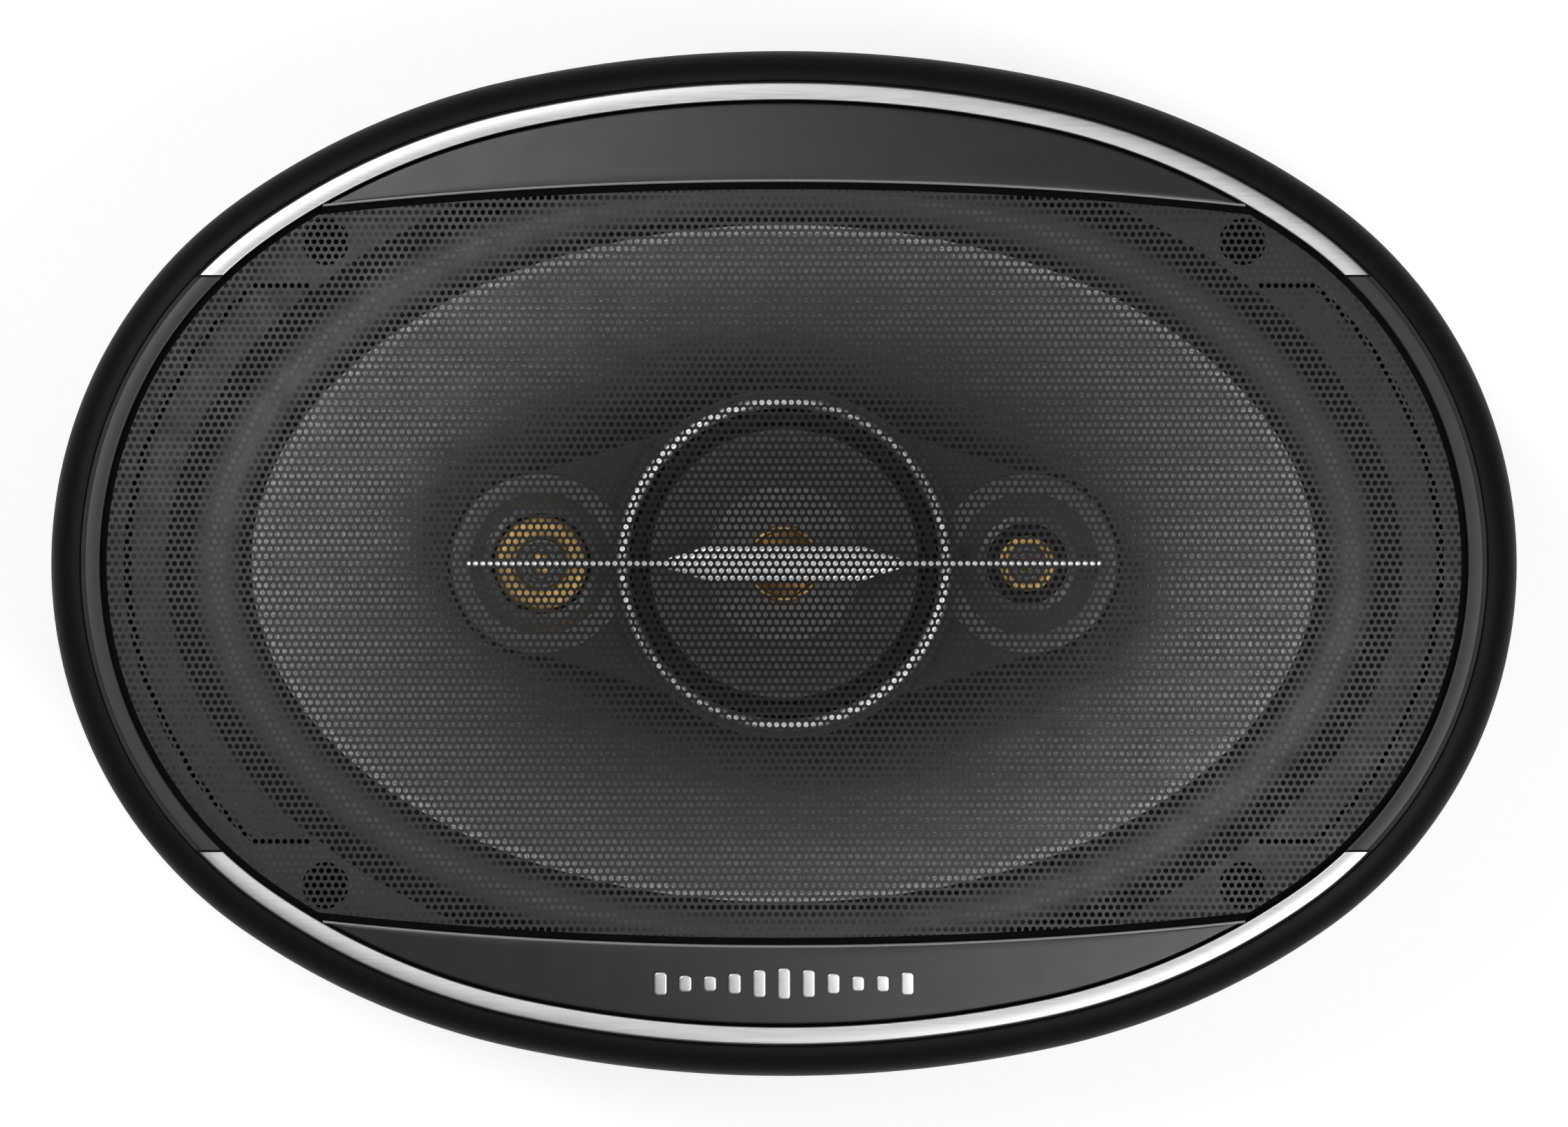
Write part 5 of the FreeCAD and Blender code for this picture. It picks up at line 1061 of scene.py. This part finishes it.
def surround():
    """Rubber half roll between the cone's lip and the flange."""
    half_width = ROLL_WIDTH / 2
    under = half_roll(CONE_LIP + half_width, half_width, LIP_Z + 0.02, ROLL_HEIGHT)
    over = half_roll(CONE_LIP + half_width, half_width + SKIN * 0.5, LIP_Z + SKIN, ROLL_HEIGHT)
    outer = CONE_LIP + ROLL_WIDTH + SURROUND_LIP
    profile = [(0.2, LIP_Z + 0.02)] + under + [(outer, LIP_Z + 0.02)]
    profile += [(outer, LIP_Z + SKIN - 0.15), (outer - 0.15, LIP_Z + SKIN), (outer - 1.6, LIP_Z + SKIN)]
    profile += over[::-1] + [(0.35, LIP_Z + SKIN), (0.2, LIP_Z + SKIN - 0.15)]
    thing = stretched_lathe("surround_roll", [(1.0, g, z) for g, z in profile], NECK_RADIUS, CONE_EDGE, 540)
    co = points_of(thing)
    a, b = CONE_EDGE[0] + CONE_LIP, CONE_EDGE[1] + CONE_LIP
    ratio = np.hypot(co[:, 0] / a, co[:, 1] / b)
    grow = (ratio - 1) * np.hypot(co[:, 0], co[:, 1]) / ratio * radial_squeeze(co, a, b)
    stretch(thing, "woofer", 1 - grow / ROLL_WIDTH, "rubber", "rubber", "surround")


def radial_squeeze(co, a, b):
    """How much closer the ellipse is measured square to it than along the radius."""
    t = np.arctan2(co[:, 1] / b, co[:, 0] / a)
    normal = np.stack([np.cos(t) / a, np.sin(t) / b], axis=1)
    normal /= np.linalg.norm(normal, axis=1)[:, None]
    radial = co[:, :2] / np.linalg.norm(co[:, :2], axis=1)[:, None]
    return np.abs((normal * radial).sum(1))


def spider():
    """Corrugated cloth disc that centres the coil."""
    inner, outer = high("voice_coil_former").x + 0.1, high("spider").x
    z, thick = middle("spider", 2), 0.4
    first, last, waves = inner + 2.0, 35.4, 4
    height = half("spider", 2) - thick / 2
    radii = np.concatenate([[inner], np.linspace(first, last, waves * 16 + 1), [37.5, outer]])
    wave = np.where((radii >= first) & (radii <= last),
                    height * np.sin((radii - first) / (last - first) * waves * TURN), 0)
    profile = [(r, z + w + thick / 2) for r, w in zip(radii, wave)]
    profile += [(r, z + w - thick / 2) for r, w in zip(radii[::-1], wave[::-1])]
    thing = lathe("spider_cloth", profile, count=256)
    reach = np.hypot(*points_of(thing)[:, :2].T)
    stretch(thing, "woofer", (last - reach) / (last - first), "spider", "spider_cloth", "spider")
    ledge_bead = [(37.2, z - 0.2), (37.4, z + 0.6), (38.4, z + 0.9), (39.6, z + 0.6), (40.0, z - 0.2)]
    place(lathe("spider_glue", ledge_bead, count=200), "root", "glue", "sleeve")


def tinsel_lead(tag, sx):
    """Braid from a soldered lug on the terminal block to its eyelet on the cone."""
    lo, hi = low("tinsel_lead_" + tag), high("tinsel_lead_" + tag)
    outer = max(abs(lo.x), abs(hi.x)) - 0.6
    lug_x, join_x = 11.0, 9.0
    corners = [
        (sx * lug_x, lo.y + 0.1, -17.35), (sx * lug_x, lo.y + 4.5, -17.4),
        (sx * (outer - 0.9), lo.y + 9.5, -18.7), (sx * outer, lo.y + 15.5, -22.2),
        (sx * (outer - 1.8), lo.y + 23.0, -24.2), (sx * (join_x + 0.8), lo.y + 28.6, -23.6),
        (sx * join_x, middle("lead_eyelets", 1), low("lead_eyelets").z + 0.1),
    ]
    sagging_wire("tinsel_" + tag, smooth_route(corners, 14), 0.6, 16, 1.2, "braid", "tinsel_lead_" + tag)
    solder = [(0, -16.55), (1.3, -16.6), (1.75, -17.0), (1.9, -17.6), (1.5, -18.2), (0, -18.4)]
    blob = lathe("solder_" + tag, solder, sx * lug_x, high("terminal_" + tag).y + 0.3, 24, closed=False)
    place(blob, "root", "tin", "tin")


def feed_wire(tag, sx, *nodes):
    """Sleeved wire from the cone up to the bridge."""
    far, foot_z = high("feed_leads").x - 0.45, low("feed_leads").z + 0.1
    corners = [
        (sx * 16.9, 0, -13.0), (sx * 19.6, 0.0, -13.3), (sx * (far - 0.5), 0.4, -16.5),
        (sx * far, 1.0, -21.2), (sx * (far - 0.4), 1.7, -26.0), (sx * 20.7, 2.0, foot_z),
    ]
    sagging_wire("feed_wire_" + tag, smooth_route(corners, 12), 0.45, 14, 1.5, "sleeve", *nodes)


def sagging_wire(name, route, radius, sides, lag, look, *nodes):
    """Wire along a route, baked in place with its look."""
    thing = tube(name, route, radius, sides)
    share = np.tile(np.linspace(0, 1, len(route)) ** lag, sides)
    stretch(thing, "woofer", share, look, look, *nodes)


def leads():
    tinsel_lead("positive", 1)
    tinsel_lead("negative", -1)
    feed_wire("right", 1, "feed_leads")
    feed_wire("left", -1)


def pad_line(top_y, inset, side):
    """Points along the outline on one end, between the heights -top_y and top_y, moved inwards."""
    ys = top_y * np.sin(np.linspace(-math.pi / 2, math.pi / 2, 120))
    turns = [math.copysign(angle_where(abs(y), inset[0]), y) for y in ys]
    return np.array([[side * float(oval(t, inset[1])[0]), y] for t, y in zip(turns, ys)])


def gasket():
    """Foam pads on the flange, left and right, with soft edges."""
    lo, hi = low("flange_gasket"), high("flange_gasket")
    thick, top_y, inset = hi.z - lo.z, hi.y, GRILLE_A - hi.x
    a, b = high("surround").x + 0.2, high("surround").y + 0.2
    for side, tag in ENDS:
        outer, ys = pad_line(top_y, (inset, inset), side).T
        inner = side * a * np.sqrt(1 - (ys / b) ** 2)
        rows = []
        for u, v in rounded([(0, 0, 0), (0, 1, 0.3), (1, 1, 0.3), (1, 0, 0)], 4):
            rows.append(at_height(inner + (outer - inner) * u, ys, lo.z + thick * v))
        thing = bar_object("foam_pad_" + tag, rows)
        nodes = ["flange_gasket"] if side > 0 else []
        place(thing, "root", "foam", "foam", *nodes)
        pad_edge(tag, side, inset, top_y, lo.z)


def pad_edge(tag, side, inset, top_y, z):
    """Near-black bead along a pad's outer edge and its two ends, as painted shadow at the pad's edge."""
    out = PAD_EDGE_WIDTH / 2
    line = pad_line(top_y, (inset, inset - out), side)
    line[[0, -1], 1] += np.array([-out, out])
    back = side * np.array([PAD_END_RUN, 0.0])
    line = np.vstack([line[0] - back, line, line[-1] - back])
    way = np.gradient(line, axis=0)
    way /= np.linalg.norm(way, axis=1)[:, None]
    across = np.stack([way[:, 1], -way[:, 0]], axis=1)
    rows = []
    for u, v in rounded([(-1, 0, 0), (1, 0, 0), (1, 1, 0.3), (-1, 1, 0.3)], 3):
        rows.append(at_height(*(line + across * u * out).T, z + PAD_EDGE_HEIGHT * v))
    place(bar_object("pad_edge_" + tag, rows), "root", "lip", "foam")


def hole_shade_discs():
    """Thin near-black discs over the four mounting holes: painted shade where the holes would show only
    shade.
    """
    holes = next(m for m in frame["record"]["mounts"] if m["name"] == "mounting_holes")
    reach_x, reach_y = (holes["dims"]["spacing_" + axis + "_mm"] / 2 for axis in "xy")
    top_z = FLANGE_Z + SHADE_DISC_THICK
    profile = [(0.0, FLANGE_Z), (SHADE_DISC_RADIUS, FLANGE_Z), (SHADE_DISC_RADIUS, top_z - 0.1),
               (SHADE_DISC_RADIUS - 0.1, top_z), (0.0, top_z)]
    for sx, right in ENDS:
        for sy, top in SIDES:
            disc = lathe("hole_shade_disc_" + right + "_" + top, profile, sx * reach_x, sy * reach_y, 64)
            place(disc, "root", "lip", "rubber")


# ---------------------------------------------------------------- midrange, bridge and bar
MID_SEAT = low("mid_surround").z
MID_EDGE = high("mid_cone").x
MID_ROLL = 2.6
MID_WALL = 0.7
CAP_RISE = 2.4
BUTTON_BEAD = 0.62
BAR_HALF, BAR_FLAT, BAR_TIP, BAR_EDGE = 0.7, 13.0, 20.7, 0.32
FACE_RADIUS, FACE_FLAT = 15.5, 11.8
# radii of a tweeter's throat, its roll out and in, its ring out and in, and its button
TWEETERS = {"left": (8.6, 8.1, 4.15, 3.6, 2.6, 2.0), "right": (6.9, 4.87, 3.15, 2.9, 2.1, 1.4)}


def mid_ring():
    """Bright ring round the midrange, its crowned top reaching in over the surround's lip."""
    lo, hi = low("mid_trim_ring"), high("mid_trim_ring")
    outer, inner, lip = hi.x, hi.x - 1.5, hi.x - 2.4
    half_width, crown = (outer - lip) / 2, 0.5
    profile = [(inner, lo.z), (outer, lo.z)]
    for share in np.linspace(1, -1, 17):
        profile.append((lip + half_width * (1 + share), hi.z - crown * share ** 2))
    profile += [(lip, hi.z - crown - 0.4), (inner, hi.z - crown - 0.4)]
    place(lathe("mid_ring", profile, count=256), "root", "bright", "silver_trim", "mid_trim_ring")


def mid_surround():
    """Small rubber half roll between the midrange's cone and its frame."""
    inner, outer = MID_EDGE, MID_EDGE + MID_ROLL
    z, t, centre, r = MID_SEAT, 0.4, MID_EDGE + MID_ROLL / 2, MID_ROLL / 2
    turns = np.linspace(math.pi, 0, 13)
    under = [(centre + (r - 0.02) * math.cos(a), z + r * math.sin(a)) for a in turns]
    over = [(centre + (r + 0.2) * math.cos(a), z + t + r * math.sin(a)) for a in turns]
    profile = [(inner - 0.9, z + 0.01)] + under + [(outer + 0.85, z + 0.01), (outer + 0.85, z + t)]
    profile += over[::-1] + [(inner - 0.9, z + t)]
    thing = lathe("mid_roll", profile, count=220)
    reach = np.hypot(*points_of(thing)[:, :2].T)
    stretch(thing, "midrange", (outer - reach) / (outer - inner), "mid_rubber", "mid_black", "mid_surround")


def mid_paper():
    """The midrange's paper cone, slightly bowed."""
    neck, foot, wall = low_radius("mid_cone"), low("mid_cone").z, MID_WALL
    front_foot, back_neck, back_top = foot + 1.05, neck + wall, MID_SEAT - wall
    front, back = [], []
    for s in np.linspace(0, 1, 21):
        bow = 0.45 * math.sin(math.pi * s)
        front.append((neck + (MID_EDGE - 1.6 - neck) * s, front_foot + (MID_SEAT - front_foot) * s - bow))
        back.append((back_neck + (MID_EDGE - 0.9 - back_neck) * s, foot + (back_top - foot) * s - bow))
    profile = front + [(MID_EDGE - 0.1, MID_SEAT - 0.01), (MID_EDGE, back_top)] + back[::-1]
    place(lathe("mid_cone_paper", profile, count=220), "midrange", "mid_cone", "mid_cone", "mid_cone")


def mid_cap():
    """Domed dust cap, open in the middle for the gold button."""
    edge, foot = high("mid_dust_cap").x, low("mid_dust_cap").z
    big = (edge ** 2 + CAP_RISE ** 2) / (2 * CAP_RISE)
    top = [(r, foot + 0.4 + CAP_RISE - big + math.sqrt(big ** 2 - r ** 2))
           for r in np.linspace(edge, high("mid_button").x - 0.4, 16)]
    flange = [(edge + 0.7, foot + 0.05), (edge + 0.65, foot + 0.32), (edge + 0.2, foot + 0.42)]
    under = [(r, z - 0.4) for r, z in top[::-1]]
    place(lathe("mid_cap", flange + top + under, count=200), "midrange", "cap", "cap_grey", "mid_dust_cap")


def gold_button():
    """Gold bead round a browner hollow dome."""
    foot = low("mid_button").z
    inner = high("mid_button").x - BUTTON_BEAD
    bead = [(inner + BUTTON_BEAD * math.cos(t), foot + 0.45 + BUTTON_BEAD * math.sin(t))
            for t in np.linspace(0, TURN, 20, endpoint=False)]
    place(lathe("mid_gold_bead", bead, count=160), "midrange", "gold", "gold", "mid_button")
    dome = [(inner * (1 - s), foot + 0.35 + 1.1 * math.sin(s * math.pi / 2)) for s in np.linspace(0, 1, 14)]
    under = [(r, z - 0.35) for r, z in dome[::-1]]
    place(lathe("mid_gold_dome", dome + under, count=120), "midrange", "gold_dark", "gold")


def low_radius(node):
    """Smallest distance of a node's points from the upright axis."""
    return float(np.hypot(*points_of(frame["nodes"][node])[:, :2].T).min())


def cross_bar():
    """Bar over the drivers with a pointed plate in the middle; every long edge is rounded."""
    lo, hi = low("cross_bar"), high("cross_bar")
    top, thick, reach, tall = hi.z, 1.0, hi.x, hi.y
    right = np.concatenate([np.linspace(0, BAR_FLAT, 14), np.linspace(BAR_FLAT, BAR_TIP, 24)[1:],
                            np.linspace(BAR_TIP, reach - 0.5, 30)[1:], [reach - 0.2, reach - 0.03, reach]])
    stations = np.concatenate([-right[::-1][:-1], right])
    near = np.abs(stations)
    widths = tall + (BAR_HALF - tall) * np.clip((near - BAR_FLAT) / (BAR_TIP - BAR_FLAT), 0, 1)
    fall = np.clip((near - (reach - 0.5)) / 0.5, 0, 1)
    widths = widths * np.sqrt(np.clip(1 - 0.75 * fall ** 2, 0.05, 1))
    rows = []
    for u, v in ((-1, 0), (1, 0), (1, 0.55), (0.98, 0.8), (0.9, 0.95), (0.75, 1), (-0.75, 1), (-0.9, 0.95),
                 (-0.98, 0.8), (-1, 0.55)):
        y = math.copysign(1, u) * np.maximum(widths - (1 - abs(u)) * 4 * BAR_EDGE, 0.05)
        rows.append(at_height(stations, y, top - thick + thick * v))
    place(bar_object("bar_plate", rows, 30), "root", "bright", "silver_trim", "cross_bar")
    leg = rounded([(-0.5, -0.7, 0.3), (0.5, -0.7, 0.3), (0.5, 0.7, 0.3), (-0.5, 0.7, 0.3)], 4)
    for sx, tag in ENDS:
        levels = np.linspace(lo.z, top - thick * 0.5, 4)
        points = [[(sx * (reach - 0.55) + u, v, z) for z in levels] for u, v in leg]
        place(bar_object("bar_leg_" + tag, points), "root", "bright", "silver_trim")


def tweeter_face(tag, x, throat):
    """Waveguide plate, cut away where the midrange's can stands."""
    face = "tweeter_" + tag + "_faceplate"
    foot, top = low(face).z, high(face).z
    profile = rounded([(throat, foot + 0.02, 0), (FACE_RADIUS, foot + 0.02, 0), (FACE_RADIUS, top, 0.5),
                       (FACE_FLAT + 0.3, top, 0.15), (FACE_FLAT, top - 0.5, 0.1),
                       (throat + 1.6, foot + 1.0, 1.2), (throat, foot + 0.6, 0.1)], 5)
    plate = lathe("waveguide_" + tag, profile, x, 0, 200)
    trim_by_centre(plate, high("bridge_housing").y + 0.05)
    place(plate, "root", "waveguide", "waveguide", face)


def tweeter_roll(tag, x, outer, inner):
    """Shallow gold roll that the dome hangs in."""
    z = low("tweeter_" + tag + "_surround").z
    half_width, centre = (outer - inner) / 2, (outer + inner) / 2
    under = [(centre + half_width * math.cos(a), z + 0.01 + half_width * 0.34 * math.sin(a))
             for a in np.linspace(math.pi, 0, 13)]
    over = [(r, h + 0.2) for r, h in under[::-1]]
    roll = lathe("gold_roll_" + tag, under + over, x, 0, 160)
    co = points_of(roll)
    share = (outer - np.hypot(co[:, 0] - x, co[:, 1])) / (outer - inner)
    stretch(roll, "tweeter_" + tag, share, "gold", "gold", "tweeter_" + tag + "_surround")


def tweeter_dome(tag, x, edge, ring_out, ring_in, button):
    """Grey ring on the dome, and the gold button in its middle."""
    body = "tweeter_" + tag
    base = low(body + "_dome").z
    face, crown = base + 0.4, base + 1.0
    outline = rounded([(0.01, base, 0), (edge, base, 0), (edge, face, 0.08), (ring_out, face, 0.05),
                       (ring_out - 0.15, crown, 0.15), (ring_in + 0.15, crown, 0.15), (ring_in, face, 0.05),
                       (0.01, face, 0)], 4)
    profile = [(r if r > 0.02 else 0.0, h) for r, h in outline]
    place(lathe("cap_ring_" + tag, profile, x, 0, 140), body, "ring_grey", "cap_grey", body + "_dome")
    top = base + 0.42
    profile = [(0.0, top), (button, top)]
    for s in np.linspace(0, math.pi / 2, 9)[:-1]:
        profile.append((button * math.cos(s), top + 0.15 + 0.5 * math.sin(s)))
    profile.append((0.0, top + 0.65))
    place(lathe("gold_button_" + tag, profile, x, 0, 96), body, "gold", "gold", body + "_button")


def tweeters():
    for tag, (throat, roll_out, roll_in, ring_out, ring_in, button) in TWEETERS.items():
        x = middle("tweeter_" + tag + "_dome", 0)
        tweeter_face(tag, x, throat)
        tweeter_roll(tag, x, roll_out, roll_in)
        tweeter_dome(tag, x, roll_in - 0.05, ring_out, ring_in, button)


def trim_by_centre(thing, radius):
    """Cuts away what lies inside an upright cylinder on the origin, and closes the cut."""
    cutter = lathe("cutter", [(0, -20), (radius, -20), (radius, 40), (0, 40)], count=256, closed=False)
    cut = thing.modifiers.new("cut", "BOOLEAN")
    cut.operation = "DIFFERENCE"
    cut.object = cutter
    cut.solver = "EXACT"
    bpy.context.view_layer.update()
    graph = bpy.context.evaluated_depsgraph_get()
    made = bpy.data.meshes.new_from_object(thing.evaluated_get(graph))
    thing.modifiers.clear()
    thing.data = made
    made.shade_smooth()
    made.set_sharp_from_angle(angle=math.radians(35))
    bpy.data.objects.remove(cutter)


# ---------------------------------------------------------------- studio
def floor():
    """Wide pale floor just under the object."""
    sheet = lathe("floor", [(0.0, 0.0), (FLOOR_RADIUS, 0.0)], count=96, closed=False)
    sheet.location.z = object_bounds()[0].z - 0.0002
    sheet.data.materials.append(MATERIALS["floor"])
    sheet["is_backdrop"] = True


def sky():
    """Studio walls: pale at the horizon, dim overhead."""
    world = bpy.data.worlds.new("studio")
    world.use_nodes = True
    tree = world.node_tree
    place = tree.nodes.new("ShaderNodeTexCoord")
    split = tree.nodes.new("ShaderNodeSeparateXYZ")
    ramp = tree.nodes.new("ShaderNodeValToRGB")
    tree.links.new(place.outputs["Generated"], split.inputs[0])
    tree.links.new(split.outputs["Z"], ramp.inputs[0])
    tree.links.new(ramp.outputs[0], tree.nodes["Background"].inputs["Color"])
    ramp.color_ramp.elements[0].color = (1, 1, 1, 1)
    ramp.color_ramp.elements[1].color = (SKY_TOP, SKY_TOP, SKY_TOP, 1)
    ramp.color_ramp.elements[1].position = SKY_EDGE
    bpy.context.scene.world = world


def area_light(name, tilt, turn, distance, size, brightness):
    """Square soft box aimed at the object. Brightness 1 lights a white card lying flat to full white."""
    light = bpy.data.lights.new(name, "AREA")
    light.size = size
    light.energy = brightness * math.pi ** 2 * distance ** 2 / math.cos(math.radians(tilt))
    tilt, turn = math.radians(tilt), math.radians(turn)
    away = Vector((math.sin(tilt) * math.cos(turn), math.sin(tilt) * math.sin(turn), math.cos(tilt)))
    holder = bpy.data.objects.new(name, light)
    holder.location = away * distance
    holder.rotation_euler = (-away).to_track_quat("-Z", "Y").to_euler()
    bpy.context.scene.collection.objects.link(holder)


def lights():
    for name, tilt, turn, distance, size, brightness in SOFT_BOXES:
        area_light(name, tilt, turn, distance, size, brightness)
    bpy.context.scene.view_settings.view_transform = "Standard"


def camera():
    """Long lens straight above the grille."""
    made = bpy.data.cameras.new("camera")
    made.lens = 300.0
    made.sensor_width = 36.0
    made.clip_start, made.clip_end = 0.1, 50.0
    holder = bpy.data.objects.new("camera", made)
    across = 2 * GRILLE_A * MM * 1.0675
    holder.location = (0, 0, RIM_Z * MM + across * made.lens / made.sensor_width)
    bpy.context.scene.collection.objects.link(holder)
    bpy.context.scene.camera = holder


dress_cad_nodes()
grille_rim()
grille_feet_and_clips()
bezel_band()
trim_arcs()
panels()
panel_beads()
black_lips()
mark_bars()
grille_sheet()
cone()
surround()
spider()
leads()
gasket()
hole_shade_discs()
mid_ring()
mid_surround()
mid_paper()
mid_cap()
gold_button()
cross_bar()
tweeters()
floor()
sky()
lights()
camera()
